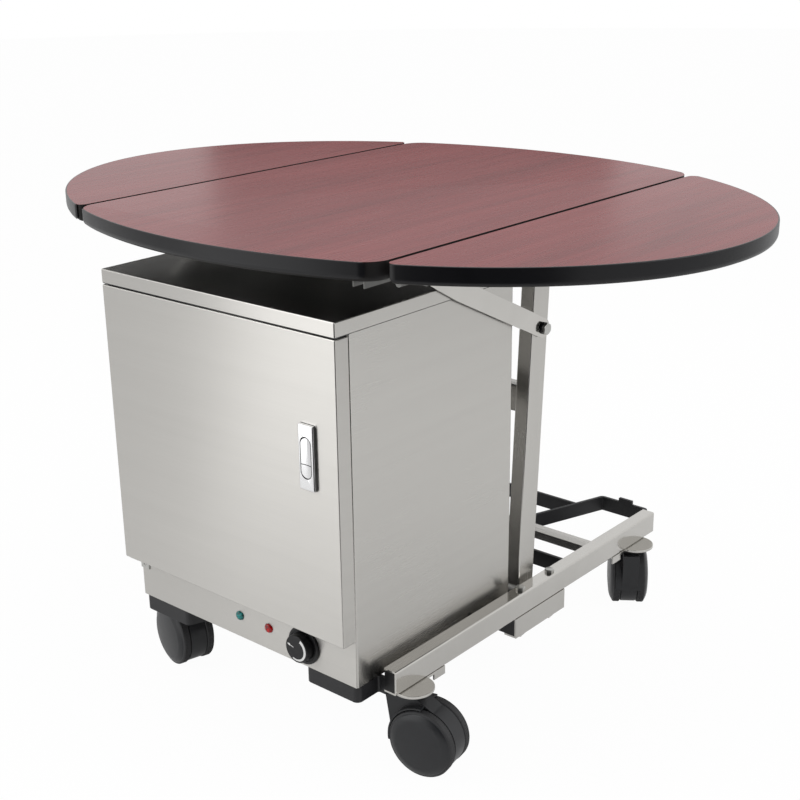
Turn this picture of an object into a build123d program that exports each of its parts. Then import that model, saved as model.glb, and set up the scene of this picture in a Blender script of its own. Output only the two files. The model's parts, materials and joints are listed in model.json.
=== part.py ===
from build123d import *
import os
from math import cos, radians, sin, sqrt, tan

os.makedirs("parts", exist_ok=True)

# Table top: an oval with a drop leaf on each side
table_width = 1166.0
table_depth = 868.0
table_height = 751.0
board_thickness = 26.0
edging_width = 8.0
edging_round = 6.0
seam_offset = 289.0
seam_gap = 3.0

# Base frame
base_centre = 26.0
rail_front_reach = 348.0
rail_rear_reach = 341.0
rail_outer = 260.0
rail_top = 162.0
rail_height = 37.0
rail_flange = 22.0
rail_wall = 3.0
beam_width = 132.0
beam_height = 30.0
beam_wall = 3.0
bracket_wall = 3.0
crossbar_offset = 156.0
crossbar_width = 25.0
crossbar_drop = 14.0
crossbar_wall = 3.0

# Bearers: flat bars on edge that carry the cabinet
bar_height = 26.0
bar_thickness = 6.0
bar_bend = 6.0
ear_reach = 384.0
ear_outer = 221.0
ear_inner = 129.0
leg_inset = 7.0
diagonal_foot = 38.0
tie_offset = 123.0
short_tie_offset = 327.0
lug_centre = 178.0
lug_width = 27.0
lug_height = 7.0

# Posts
post_outer = 229.0
post_width = 25.0
post_depth = 40.0
post_wall = 2.0
post_lean = 3.45
crossbar_height = 450.0
post_bar_depth = 25.0
post_bar_height = 42.0

# Bolts, hexagon heads
bolt_radius = 4.0
bolt_flats = 13.0
head_height = 5.3
nut_height = 6.5
bolt_tail = 3.0
bolt_hole_clearance = 0.3
frame_bolt_inset = 12.0
frame_bolt_spacing = 78.0

# Folding gear under the table
knuckle_radius = 5.0
hinge_pin_radius = 2.0
hinge_plate = 2.0
knuckle_gap = 0.6
leaf_hinge_width = 60.0
leaf_hinge_reach = 45.0
leaf_hinge_offset = 310.0
leaf_axis_drop = 5.5
tilt_axis_drop = 6.0
tilt_axis_setback = 6.0
tilt_base_plate = 4.0
tilt_leaf_reach = 40.0
post_head_gap = 9.0
running_clearance = 0.05
strut_pivot_height = 563.0
strut_front = -253.0
strut_pin_drop = 11.0
strut_width = 30.0
strut_tip_radius = 8.0
strut_taper = 120.0
strut_thickness = 4.0
strut_pin_radius = 6.0
strut_pin_length = 13.0
washer_thickness = 1.5
washer_radius = 11.0
side_play = 0.1
channel_width = 20.0
channel_depth = 18.0
channel_wall = 2.0
channel_front = -350.0
channel_rear = 30.0

# Cabinet
cabinet_width = 450.0
cabinet_depth = 352.0
cabinet_height = 508.0
cabinet_bottom = 143.0
cabinet_front = -363.0
sheet = 1.2
plinth_height = 73.0
side_insulation = 27.6
floor_insulation = 12.0
roof_insulation = 22.0
back_insulation = 32.0
cap_height = 20.0
cap_overhang = 3.0
cap_back_overhang = 2.0
cap_lip = 10.0

# Shelves and heater inside the cavity
runner_thickness = 2.0
runner_width = 20.0
ledge_thickness = 1.5
ledge_width = 17.0
ledge_front_gap = 17.0
ledge_back_gap = 25.0
lower_ledge = 115.0
upper_ledge = 245.0
rod_radius = 2.5
wire_radius = 1.5
wire_count = 7
shelf_side_gap = 6.0
shelf_corner = 12.0
heater_radius = 4.0
heater_rise = 16.0
heater_half_width = 90.0
heater_front_gap = 60.0
heater_back_gap = 60.0
heater_bend = 14.0
heater_tail = 12.0
fit_clearance = 0.3

# Door
door_thickness = 25.5
door_standoff = 2.5
door_top_gap = 3.0
door_bottom_gap = 1.0
gasket_width = 10.0
gasket_overlap = 7.0
pivot_inset = 6.0
pivot_radius = 3.0
pivot_depth = 12.0
pivot_plate_width = 18.0
pivot_plate_depth = 22.0
pivot_plate = 3.0
pivot_upper_plate = 2.0
pivot_tab_height = 26.0
pivot_tab = 2.0
pivot_pocket_clearance = 0.5

# Latch
latch_x = 176.0
latch_height = 481.0
latch_plate_width = 36.0
latch_plate_height = 96.0
latch_plate_proud = 9.0
latch_plate_corner = 5.0
latch_plate_chamfer = 2.5
latch_body_width = 28.0
latch_body_height = 80.0
latch_body_depth = 19.0
oval_width = 23.0
oval_height = 62.0
oval_depth = 12.0
grip_proud = 0.5
grip_thickness = 6.5
grip_side_gap = 0.5
grip_end_gap = 1.0
grip_split = 10.0
paddle_axis_below_top = 8.0
paddle_pin_radius = 1.5
boss_width = 20.0
boss_height = 24.0
boss_behind_door = 11.5
tongue_height = 16.0
tongue_thickness = 4.4
tongue_length = 44.0
tongue_tip_gap = 1.6
tongue_inset = 3.0

# Controls on the plinth
control_height = 178.0
green_lamp_x = -5.0
red_lamp_x = 55.0
lamp_lens_radius = 7.5
lamp_lens_height = 5.0
lamp_lens_bevel = 2.5
lamp_barrel_radius = 5.7
lamp_barrel_length = 28.0
knob_x = 126.0
knob_height = 176.0
bezel_radius = 28.5
bezel_thickness = 4.0
bezel_chamfer = 1.5
knob_radius = 22.5
knob_draft = 0.5
knob_depth = 20.0
knob_bevel = 1.5
knob_gap = 0.5
spindle_radius = 3.0
spindle_depth = 16.0
spindle_hole_clearance = 1.0
thermostat_width = 44.0
thermostat_height = 40.0
thermostat_depth = 46.0

# Power inlet on the rear of the plinth
inlet_x = 150.0
inlet_height = 180.0
inlet_flange_width = 50.0
inlet_flange_height = 28.0
inlet_flange = 3.0
inlet_body_width = 28.0
inlet_body_height = 21.0
inlet_body_depth = 30.0
inlet_wall = 2.0
inlet_pocket_depth = 18.0
inlet_pin_width = 2.0
inlet_pin_height = 5.0
inlet_pin_length = 13.0
inlet_pin_pitch = 7.0

# Casters
caster_inset = 9.0
front_caster_offset = 311.0
rear_caster_offset = 282.0
strap_radius = 30.0
strap_thickness = 4.0
strap_width = 26.0
strap_reach = 71.0
strap_tab_length = 25.0
strap_tab_height = 13.0
stem_radius = 5.0
stem_rise = 18.0
swivel_gap = 0.5
swivel_boss_radius = 20.0
swivel_boss_height = 9.0
wheel_radius = 50.8
tread_width = 13.0
wheel_gap = 0.6
caster_trail = 33.0
hood_thickness = 27.0
hood_radius = 49.8
hood_cut = 18.0
hood_front = 31.0
hood_rear = 22.0
shield_gap = 1.2
shield_wall = 2.5
shield_width = 48.0
shield_bottom = 42.0
tyre_bevel = 2.5
cap_radius = 37.0
cap_rise = 5.0
face_rise = 7.0
hub_radius = 14.0
axle_radius = 4.0
press_clearance = 0.02
front_right_heading = 9.5
front_left_heading = -14.0
rear_right_heading = 126.0
rear_left_heading = 75.0

# Levels and faces that follow from the sizes above
underside = table_height - board_thickness
seam_centre = seam_offset - seam_gap / 2
seam_leaf = seam_offset + seam_gap / 2
rail_bottom = rail_top - rail_height
rail_inner = rail_outer - rail_flange
rail_web = rail_outer - rail_wall
rail_front = base_centre - rail_front_reach
rail_rear = base_centre + rail_rear_reach
beam_bottom = rail_bottom - beam_height
bar_bottom = cabinet_bottom - bar_height
bolt_x = rail_outer - frame_bolt_inset
bolt_rows = [base_centre - frame_bolt_spacing / 2, base_centre + frame_bolt_spacing / 2]
hole_radius = bolt_radius + bolt_hole_clearance
post_top = underside - post_head_gap
post_inner = post_outer - post_width
cabinet_half = cabinet_width / 2
inside_half = cabinet_half - sheet
cabinet_back = cabinet_front + cabinet_depth
cabinet_top = cabinet_bottom + cabinet_height
frame_back = cabinet_front + sheet
back_inside = cabinet_back - sheet
deck_top = cabinet_bottom + plinth_height
liner_half = inside_half - side_insulation
liner_bottom = deck_top + floor_insulation
liner_top = cabinet_top - roof_insulation
liner_back = back_inside - back_insulation
cavity_half = liner_half - sheet
cavity_floor = liner_bottom + sheet
cavity_roof = liner_top - sheet
cavity_back = liner_back - sheet
door_half = cabinet_half + cap_overhang
door_back = cabinet_front - door_standoff
door_front = door_back - door_thickness
door_bottom = deck_top + door_bottom_gap
door_top = cabinet_top - door_top_gap
door_inside = door_half - sheet
door_middle = (door_front + door_back) / 2
pivot_x = pivot_inset - door_half
strut_inner = post_outer + washer_thickness + side_play
strut_middle = strut_inner + strut_thickness / 2
strut_outer = strut_inner + strut_thickness
strut_pin_height = underside - strut_pin_drop
caster_x = rail_outer - caster_inset
caster_rows = [base_centre - front_caster_offset, base_centre + rear_caster_offset]
strap_bottom = rail_bottom - strap_thickness
hood_top = strap_bottom - swivel_gap


def at_x(x):
    """Plane across X: sketch Y to the right, Z up, extruding towards +X."""
    return Plane(origin=(x, 0, 0), x_dir=(0, 1, 0), z_dir=(1, 0, 0))


def at_y(y):
    """Plane across Y: sketch X to the right, Z up, extruding towards the front."""
    return Plane(origin=(0, y, 0), x_dir=(1, 0, 0), z_dir=(0, -1, 0))


def at_z(z):
    """Level plane: sketch X to the right, Y to the back, extruding upwards."""
    return Plane.XY.offset(z)


def rect(u0, u1, v0, v1, mode=Mode.ADD):
    """Rectangle between two corners of the sketch."""
    with Locations(((u0 + u1) / 2, (v0 + v1) / 2)):
        Rectangle(abs(u1 - u0), abs(v1 - v0), mode=mode)


def disc(u, v, radius, mode=Mode.ADD):
    """Circle about a point of the sketch."""
    with Locations((u, v)):
        Circle(radius, mode=mode)


def hexagon(u, v, flats):
    """Hexagon for a bolt head or nut."""
    with Locations((u, v)):
        RegularPolygon(flats / 2, 6, major_radius=False)


def post_y(z):
    """Centre of a leaning post at a height."""
    return base_centre + (z - rail_bottom) * tan(radians(post_lean))


def save(builder, name):
    """Label a finished piece and write it."""
    builder.part.label = name
    export_step(builder.part, f"parts/{name}.step")


tilt_axis_y = post_y(post_top) + post_depth / 2 + tilt_axis_setback
tilt_axis_z = underside - tilt_axis_drop
strut_pivot_y = post_y(strut_pivot_height)

# Rails: C sections open to the inside, drilled for bolts and caster stems
for side, name in ((-1, "rail_left"), (1, "rail_right")):
    with BuildPart() as rail:
        with BuildSketch(at_y(rail_rear)) as section:
            rect(side * rail_inner, side * rail_outer, rail_bottom, rail_top)
            bends = [v for v in section.vertices() if abs(v.X) > rail_web]
            fillet(bends, rail_wall)
            rect(side * rail_inner, side * rail_web, rail_bottom + rail_wall, rail_top - rail_wall,
                 mode=Mode.SUBTRACT)
        extrude(amount=rail_rear - rail_front)
        with BuildSketch(at_z(rail_bottom)):
            for row in bolt_rows:
                disc(side * bolt_x, row, hole_radius)
        extrude(amount=rail_height, mode=Mode.SUBTRACT)
        with BuildSketch(at_z(rail_bottom)):
            for row in caster_rows:
                disc(side * caster_x, row, stem_radius + fit_clearance)
        extrude(amount=rail_wall, mode=Mode.SUBTRACT)
    save(rail, name)

# Crossbeam that carries the posts: a wide channel, open below
with BuildPart() as post_crossbeam:
    with BuildSketch(at_x(-rail_web)):
        rect(base_centre - beam_width / 2, base_centre + beam_width / 2, beam_bottom, rail_bottom)
        rect(base_centre - beam_width / 2 + beam_wall, base_centre + beam_width / 2 - beam_wall,
             beam_bottom, rail_bottom - beam_wall, mode=Mode.SUBTRACT)
    extrude(amount=2 * rail_web)
    with BuildSketch(at_z(beam_bottom)):
        for row in bolt_rows:
            disc(-bolt_x, row, hole_radius)
            disc(bolt_x, row, hole_radius)
    extrude(amount=beam_height, mode=Mode.SUBTRACT)
save(post_crossbeam, "post_crossbeam")

# End brackets close the crossbeam and take its bolts
with BuildPart() as beam_brackets:
    with BuildSketch(at_y(base_centre + beam_width / 2)):
        rect(rail_web, rail_outer, beam_bottom, rail_bottom)
        rect(rail_inner, rail_outer, beam_bottom - bracket_wall, beam_bottom)
    extrude(amount=beam_width)
    with BuildSketch(at_z(beam_bottom - bracket_wall)):
        for row in bolt_rows:
            disc(bolt_x, row, hole_radius)
    extrude(amount=bracket_wall, mode=Mode.SUBTRACT)
    mirror(about=Plane.YZ)
save(beam_brackets, "beam_brackets")

# Rear crossbar: an angle under the top flanges of the rails
with BuildPart() as rear_crossbar:
    with BuildSketch(at_x(-rail_web)):
        bar_front = base_centre + crossbar_offset
        under_flange = rail_top - rail_wall
        rect(bar_front, bar_front + crossbar_width, under_flange - crossbar_wall, under_flange)
        rect(bar_front, bar_front + crossbar_wall, under_flange - crossbar_drop, under_flange)
    extrude(amount=2 * rail_web)
save(rear_crossbar, "rear_crossbar")


def bearer_line(side, end):
    """Run of one bent bearer, from the rail round the ear to the long tie."""
    leg = rail_front + leg_inset if end < 0 else rail_rear - leg_inset
    ear = base_centre + end * ear_reach
    tie = base_centre + end * tie_offset
    FilletPolyline((side * rail_inner, leg), (side * ear_outer, leg), (side * ear_outer, ear),
                   (side * ear_inner, ear), (side * diagonal_foot, tie), radius=bar_bend)


def long_tie(end, mode=Mode.ADD):
    """Outline of one long tie between the rails."""
    tie = base_centre + end * tie_offset
    rect(-rail_inner, rail_inner, tie - bar_thickness / 2, tie + bar_thickness / 2, mode=mode)


# Bearers: bent flat bars, a pair in front and a pair behind
for end, name in ((-1, "front_bearers"), (1, "rear_bearers")):
    with BuildPart() as bearers:
        with BuildSketch(at_z(bar_bottom)):
            for side in (-1, 1):
                with BuildLine():
                    bearer_line(side, end)
                trace(line_width=bar_thickness)
            long_tie(end, mode=Mode.SUBTRACT)
        extrude(amount=bar_height)
        if end > 0:
            with BuildSketch(at_z(cabinet_bottom)):
                ear = base_centre + ear_reach
                for side in (-1, 1):
                    rect(side * (lug_centre - lug_width / 2), side * (lug_centre + lug_width / 2),
                         ear - bar_thickness / 2, ear + bar_thickness / 2)
            extrude(amount=lug_height)
    save(bearers, name)

# Tie bars: two from rail to rail, two short ones between the diagonals
with BuildPart() as tie_bars:
    for end in (-1, 1):
        with BuildSketch(at_z(bar_bottom)):
            long_tie(end)
        extrude(amount=bar_height)
        with BuildSketch(at_z(bar_bottom)) as short_tie:
            tie = base_centre + end * short_tie_offset
            rise = (ear_reach - short_tie_offset) / (ear_reach - tie_offset)
            reach = ear_inner + (diagonal_foot - ear_inner) * rise
            rect(-reach, reach, tie - bar_thickness / 2, tie + bar_thickness / 2)
            for side in (-1, 1):
                with BuildLine():
                    bearer_line(side, end)
                trace(line_width=bar_thickness, mode=Mode.SUBTRACT)
            spare = short_tie.faces().sort_by(Axis.X)
            add([f for f in spare if abs(f.center().X) < reach / 2], mode=Mode.INTERSECT)
        extrude(amount=bar_height)
save(tie_bars, "tie_bars")

# Caster straps: a round plate under the rail with a folded tab
with BuildPart() as caster_straps:
    for row, inward in zip(caster_rows, (1, -1)):
        tab_end = row + inward * strap_reach
        with BuildSketch(at_z(strap_bottom)):
            disc(rail_outer, row, strap_radius)
            rect(rail_inner, rail_outer + strap_radius, row - strap_radius, row + strap_radius,
                 mode=Mode.INTERSECT)
            rect(rail_outer - strap_width, rail_outer, row, tab_end)
            disc(caster_x, row, stem_radius + running_clearance, mode=Mode.SUBTRACT)
        extrude(amount=strap_thickness)
        with BuildSketch(at_z(rail_bottom - strap_tab_height)):
            rect(rail_web, rail_outer, tab_end - inward * strap_tab_length, tab_end)
        extrude(amount=strap_tab_height)
    mirror(about=Plane.YZ)
save(caster_straps, "caster_straps")

# Posts: rectangular tubes leaning back, cut level at both ends
lean = radians(post_lean)
for side, name in ((-1, "post_left"), (1, "post_right")):
    with BuildPart() as post:
        with BuildSketch(at_z(rail_bottom)):
            rect(side * post_inner, side * post_outer, base_centre - post_depth / 2,
                 base_centre + post_depth / 2)
            rect(side * (post_inner + post_wall), side * (post_outer - post_wall),
                 base_centre - post_depth / 2 + post_wall, base_centre + post_depth / 2 - post_wall,
                 mode=Mode.SUBTRACT)
        extrude(amount=(post_top - rail_bottom) / cos(lean), dir=(0, sin(lean), cos(lean)))
        with BuildSketch(at_x(side * post_inner)):
            disc(strut_pivot_y, strut_pivot_height, hole_radius)
        extrude(amount=side * post_width, mode=Mode.SUBTRACT)
    save(post, name)

# Crossbar between the posts: the same tube laid level
with BuildPart() as post_crossbar:
    with BuildSketch(at_x(-post_inner)):
        bar_y = post_y(crossbar_height)
        half_depth = post_bar_depth / 2
        half_height = post_bar_height / 2
        rect(bar_y - half_depth, bar_y + half_depth, crossbar_height - half_height,
             crossbar_height + half_height)
        rect(bar_y - half_depth + post_wall, bar_y + half_depth - post_wall,
             crossbar_height - half_height + post_wall, crossbar_height + half_height - post_wall,
             mode=Mode.SUBTRACT)
    extrude(amount=2 * post_inner)
save(post_crossbar, "post_crossbar")

# Bolts: four upright through rail, beam and bracket, two level through the posts
strut_stack = strut_outer + side_play + 2 * washer_thickness
with BuildPart() as frame_bolts:
    nut_top = beam_bottom - bracket_wall
    for row in bolt_rows:
        with BuildSketch(at_z(rail_top)):
            hexagon(bolt_x, row, bolt_flats)
        extrude(amount=head_height)
        with BuildSketch(at_z(rail_top)):
            disc(bolt_x, row, bolt_radius)
        extrude(amount=nut_top - nut_height - bolt_tail - rail_top)
        with BuildSketch(at_z(nut_top)):
            hexagon(bolt_x, row, bolt_flats)
        extrude(amount=-nut_height)
    with BuildSketch(at_x(strut_stack)):
        hexagon(strut_pivot_y, strut_pivot_height, bolt_flats)
    extrude(amount=head_height)
    with BuildSketch(at_x(strut_stack)):
        disc(strut_pivot_y, strut_pivot_height, bolt_radius)
    extrude(amount=post_inner - nut_height - bolt_tail - strut_stack)
    with BuildSketch(at_x(post_inner)):
        hexagon(strut_pivot_y, strut_pivot_height, bolt_flats)
    extrude(amount=-nut_height)
    mirror(about=Plane.YZ)
save(frame_bolts, "frame_bolts")

# Washers on both sides of each strut
with BuildPart() as strut_washers:
    for start, count in ((post_outer, 1), (strut_outer + side_play, 2)):
        with BuildSketch(at_x(start)):
            disc(strut_pivot_y, strut_pivot_height, washer_radius)
            disc(strut_pivot_y, strut_pivot_height, hole_radius, mode=Mode.SUBTRACT)
        extrude(amount=count * washer_thickness)
    mirror(about=Plane.YZ)
save(strut_washers, "strut_washers")

# Struts: flat bars with a pin that lies in the table channel
for side, name in ((-1, "strut_left"), (1, "strut_right")):
    with BuildPart() as strut:
        run_y = strut_front - strut_pivot_y
        run_z = strut_pin_height - strut_pivot_height
        strut_length = sqrt(run_y ** 2 + run_z ** 2)
        share = 1 - strut_taper / strut_length
        taper_y = strut_pivot_y + share * run_y
        taper_z = strut_pivot_height + share * run_z
        with BuildSketch(at_x(side * strut_inner)):
            with BuildSketch(mode=Mode.PRIVATE) as blade:
                disc(strut_pivot_y, strut_pivot_height, strut_width / 2)
                disc(taper_y, taper_z, strut_width / 2)
                make_hull()
            with BuildSketch(mode=Mode.PRIVATE) as tip:
                disc(taper_y, taper_z, strut_width / 2)
                disc(strut_front, strut_pin_height, strut_tip_radius)
                make_hull()
            add(blade.sketch)
            add(tip.sketch)
            disc(strut_pivot_y, strut_pivot_height, bolt_radius + running_clearance, mode=Mode.SUBTRACT)
        extrude(amount=side * strut_thickness)
        with BuildSketch(at_x(side * strut_middle)):
            disc(strut_front, strut_pin_height, strut_pin_radius)
        extrude(amount=strut_pin_length / 2, both=True)
    save(strut, name)


def hinge_half(plane, width, plate, fixed):
    """One half of a hinge about the plane's origin: sketch X away from the axis, Y up."""
    near, far, low, high = plate
    clear = knuckle_radius + knuckle_gap
    edge = clear if near < far else -clear
    third = width / 6
    start, stop = (third + knuckle_gap / 2, width / 2) if fixed else (0, third - knuckle_gap / 2)
    with BuildPart(mode=Mode.PRIVATE) as half:
        with BuildSketch(plane):
            rect(edge, far, low, high)
        extrude(amount=width / 2, both=True)
        for way in (-1, 1):
            with BuildSketch(plane.offset(way * start)):
                disc(0, 0, knuckle_radius)
                rect(near, edge, low, high)
            extrude(amount=way * (stop - start))
        with BuildSketch(plane):
            disc(0, 0, hinge_pin_radius if fixed else hinge_pin_radius + running_clearance)
        extrude(amount=width / 2, both=True, mode=Mode.ADD if fixed else Mode.SUBTRACT)
    return half.part


def leaf_hinge_planes(side):
    """Axes of the two hinges along one seam."""
    for way in (-1, 1):
        yield Plane(origin=(side * seam_offset, way * leaf_hinge_offset, underside - leaf_axis_drop),
                    x_dir=(side, 0, 0), z_dir=(0, -side, 0))


tilt_planes = [Plane(origin=(side * (post_outer - post_width / 2), tilt_axis_y, tilt_axis_z),
                     x_dir=(0, 1, 0), z_dir=(1, 0, 0)) for side in (-1, 1)]
post_head = post_top - tilt_axis_z
base_reach = tilt_axis_setback + post_depth

# Tilt hinges: a base on the head of each post and a leaf under the centre board
with BuildPart() as tilt_hinge_bases:
    for plane in tilt_planes:
        add(hinge_half(plane, post_width, (0, -base_reach, post_head, post_head + tilt_base_plate), True))
save(tilt_hinge_bases, "tilt_hinge_bases")

with BuildPart() as tilt_hinge_leaves:
    for plane in tilt_planes:
        add(hinge_half(plane, post_width,
                       (0, tilt_leaf_reach, tilt_axis_drop - hinge_plate, tilt_axis_drop), False))
save(tilt_hinge_leaves, "tilt_hinge_leaves")

# Leaf hinges: bases under the centre board, leaves under the drop leaves
leaf_plate_bottom = leaf_axis_drop - hinge_plate
with BuildPart() as leaf_hinge_bases:
    for side in (-1, 1):
        for plane in leaf_hinge_planes(side):
            add(hinge_half(plane, leaf_hinge_width,
                           (0, -leaf_hinge_reach, leaf_plate_bottom, leaf_axis_drop), True))
save(leaf_hinge_bases, "leaf_hinge_bases")

for side, name in ((-1, "leaf_left_hinges"), (1, "leaf_right_hinges")):
    with BuildPart() as leaf_hinges:
        for plane in leaf_hinge_planes(side):
            add(hinge_half(plane, leaf_hinge_width,
                           (0, leaf_hinge_reach, leaf_plate_bottom, leaf_axis_drop), False))
    save(leaf_hinges, name)

# Table channels: the strut pins lie in them
with BuildPart() as table_channels:
    with BuildSketch(at_y(channel_rear)):
        half = channel_width / 2
        rect(strut_middle - half, strut_middle + half, underside - channel_depth, underside)
        rect(strut_middle - half + channel_wall, strut_middle + half - channel_wall,
             underside - channel_depth, underside - channel_wall, mode=Mode.SUBTRACT)
    extrude(amount=channel_rear - channel_front)
    mirror(about=Plane.YZ)
save(table_channels, "table_channels")


def oval(inset, x0, x1):
    """Part of the table's oval between two lines across it."""
    Ellipse(table_width / 2 - inset, table_depth / 2 - inset)
    rect(x0, x1, -table_depth, table_depth, mode=Mode.INTERSECT)


# Boards and their edging: the centre between the seams, a leaf outside each seam
spans = (("centre", -seam_centre, seam_centre), ("leaf_left", -table_width, -seam_leaf),
         ("leaf_right", seam_leaf, table_width))
for name, x0, x1 in spans:
    with BuildPart() as board:
        with BuildSketch(at_z(underside)):
            oval(edging_width, x0, x1)
        extrude(amount=board_thickness)
    save(board, f"{name}_board")
    with BuildPart() as edging:
        with BuildSketch(at_z(underside)):
            oval(0, x0, x1)
        extrude(amount=board_thickness)
        fillet(edging.edges().filter_by(GeomType.ELLIPSE), edging_round)
        with BuildSketch(at_z(underside)):
            oval(edging_width, x0, x1)
        extrude(amount=board_thickness, mode=Mode.SUBTRACT)
    save(edging, f"{name}_edging")

# Cabinet shell: sides and back in one wrap, with the door frame in front
with BuildPart() as cabinet_shell:
    with BuildSketch(at_z(cabinet_bottom)):
        rect(-cabinet_half, cabinet_half, cabinet_front, cabinet_back)
        rect(-inside_half, inside_half, cabinet_front, back_inside, mode=Mode.SUBTRACT)
    extrude(amount=cabinet_height)
    with BuildSketch(at_y(frame_back)):
        rect(-cabinet_half, cabinet_half, deck_top, cabinet_top)
        rect(-cavity_half, cavity_half, cavity_floor, cavity_roof, mode=Mode.SUBTRACT)
    extrude(amount=sheet)
    with BuildSketch(at_y(cabinet_back)):
        rect(inlet_x - inlet_body_width / 2 - fit_clearance, inlet_x + inlet_body_width / 2 + fit_clearance,
             inlet_height - inlet_body_height / 2 - fit_clearance,
             inlet_height + inlet_body_height / 2 + fit_clearance)
    extrude(amount=sheet, mode=Mode.SUBTRACT)
save(cabinet_shell, "cabinet_shell")

# Cap: a shallow pan over the cabinet, out to the front of the door
with BuildPart() as cabinet_cap:
    cap_back = cabinet_back + cap_back_overhang
    with BuildSketch(at_z(cabinet_top)):
        rect(-door_half, door_half, door_front, cap_back)
    extrude(amount=cap_height)
    with BuildSketch(at_z(cabinet_top + sheet)):
        rect(-door_inside, door_inside, door_front + sheet, cap_back - sheet)
    extrude(amount=cap_height - 2 * sheet, mode=Mode.SUBTRACT)
    with BuildSketch(at_z(cabinet_top)):
        rect(-cabinet_half + cap_lip, cabinet_half - cap_lip, cabinet_front + cap_lip, cabinet_back - cap_lip)
    extrude(amount=sheet, mode=Mode.SUBTRACT)
save(cabinet_cap, "cabinet_cap")

# Floor pan
floor_top = cabinet_bottom + sheet
with BuildPart() as cabinet_floor:
    with BuildSketch(at_z(cabinet_bottom)):
        rect(-inside_half, inside_half, cabinet_front, back_inside)
    extrude(amount=sheet)
save(cabinet_floor, "cabinet_floor")

heater_level = cavity_floor + heater_rise
heater_back = cavity_back - heater_back_gap
heater_front = frame_back + heater_front_gap


def heater_holes():
    """Circles where the heater's two legs go down through the sheets."""
    for side in (-1, 1):
        disc(side * heater_half_width, heater_back, heater_radius + fit_clearance)


# Plinth panel: front of the control space, folded back into the deck above it
with BuildPart() as plinth_panel:
    with BuildSketch(at_x(-inside_half)):
        rect(cabinet_front, frame_back, floor_top, deck_top)
        rect(cabinet_front, back_inside, deck_top - sheet, deck_top)
    extrude(amount=2 * inside_half)
    with BuildSketch(at_y(frame_back)):
        disc(green_lamp_x, control_height, lamp_barrel_radius + fit_clearance)
        disc(red_lamp_x, control_height, lamp_barrel_radius + fit_clearance)
        disc(knob_x, knob_height, spindle_radius + spindle_hole_clearance)
    extrude(amount=sheet, mode=Mode.SUBTRACT)
    with BuildSketch(at_z(deck_top - sheet)):
        heater_holes()
    extrude(amount=sheet, mode=Mode.SUBTRACT)
save(plinth_panel, "plinth_panel")

# Cavity liner: a box open to the front
with BuildPart() as cavity_liner:
    with BuildSketch(at_y(liner_back)):
        rect(-liner_half, liner_half, liner_bottom, liner_top)
    extrude(amount=liner_back - frame_back)
    with BuildSketch(at_y(cavity_back)):
        rect(-cavity_half, cavity_half, cavity_floor, cavity_roof)
    extrude(amount=cavity_back - frame_back, mode=Mode.SUBTRACT)
    with BuildSketch(at_z(liner_bottom)):
        heater_holes()
    extrude(amount=sheet, mode=Mode.SUBTRACT)
save(cavity_liner, "cavity_liner")

# Insulation between shell and liner
with BuildPart() as cabinet_insulation:
    with BuildSketch(at_y(back_inside)):
        rect(-inside_half, inside_half, deck_top, cabinet_top)
    extrude(amount=back_inside - frame_back)
    with BuildSketch(at_y(liner_back)):
        rect(-liner_half, liner_half, liner_bottom, liner_top)
    extrude(amount=liner_back - frame_back, mode=Mode.SUBTRACT)
    with BuildSketch(at_z(deck_top)):
        heater_holes()
    extrude(amount=floor_insulation, mode=Mode.SUBTRACT)
save(cabinet_insulation, "cabinet_insulation")

ledge_front = frame_back + ledge_front_gap
ledge_back = cavity_back - ledge_back_gap
ledges = [cavity_floor + lower_ledge, cavity_floor + upper_ledge]

# Shelf runners: two ledges on two uprights at each side
with BuildPart() as shelf_runners:
    with BuildSketch(at_x(cavity_half - runner_thickness)):
        quarter = (ledge_back - ledge_front) / 4
        for upright in (ledge_front + quarter, ledge_back - quarter):
            rect(upright - runner_width / 2, upright + runner_width / 2, cavity_floor, cavity_roof)
    extrude(amount=runner_thickness)
    for level in ledges:
        with BuildSketch(at_z(level - ledge_thickness)):
            rect(cavity_half - ledge_width, cavity_half, ledge_front, ledge_back)
        extrude(amount=ledge_thickness)
    mirror(about=Plane.YZ)
save(shelf_runners, "shelf_runners")

# Wire shelves: a bent rod with wires across
shelf_half = cavity_half - shelf_side_gap
with BuildPart() as wire_shelves:
    for level in ledges:
        rod_level = level + rod_radius
        front = ledge_front + rod_radius
        back = ledge_back - rod_radius
        with BuildLine():
            border = FilletPolyline((shelf_half, front, rod_level), (shelf_half, back, rod_level),
                                    (-shelf_half, back, rod_level), (-shelf_half, front, rod_level),
                                    radius=shelf_corner, close=True)
        with BuildSketch(Plane(origin=border @ 0, z_dir=border % 0)):
            Circle(rod_radius)
        sweep()
        with BuildSketch(at_y(back)):
            with Locations((0, rod_level)):
                with GridLocations(2 * shelf_half / (wire_count + 1), 0, wire_count, 1):
                    Circle(wire_radius)
        extrude(amount=back - front)
save(wire_shelves, "wire_shelves")

# Heating element: one bent tube over the cavity floor, both legs down into the plinth
with BuildPart() as heating_element:
    tail = deck_top - sheet - heater_tail
    with BuildLine():
        FilletPolyline((-heater_half_width, heater_back, tail),
                       (-heater_half_width, heater_back, heater_level),
                       (-heater_half_width, heater_front, heater_level),
                       (heater_half_width, heater_front, heater_level),
                       (heater_half_width, heater_back, heater_level),
                       (heater_half_width, heater_back, tail), radius=heater_bend)
    with BuildSketch(Plane.XY.offset(tail)):
        disc(-heater_half_width, heater_back, heater_radius)
    sweep()
save(heating_element, "heating_element")

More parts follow.
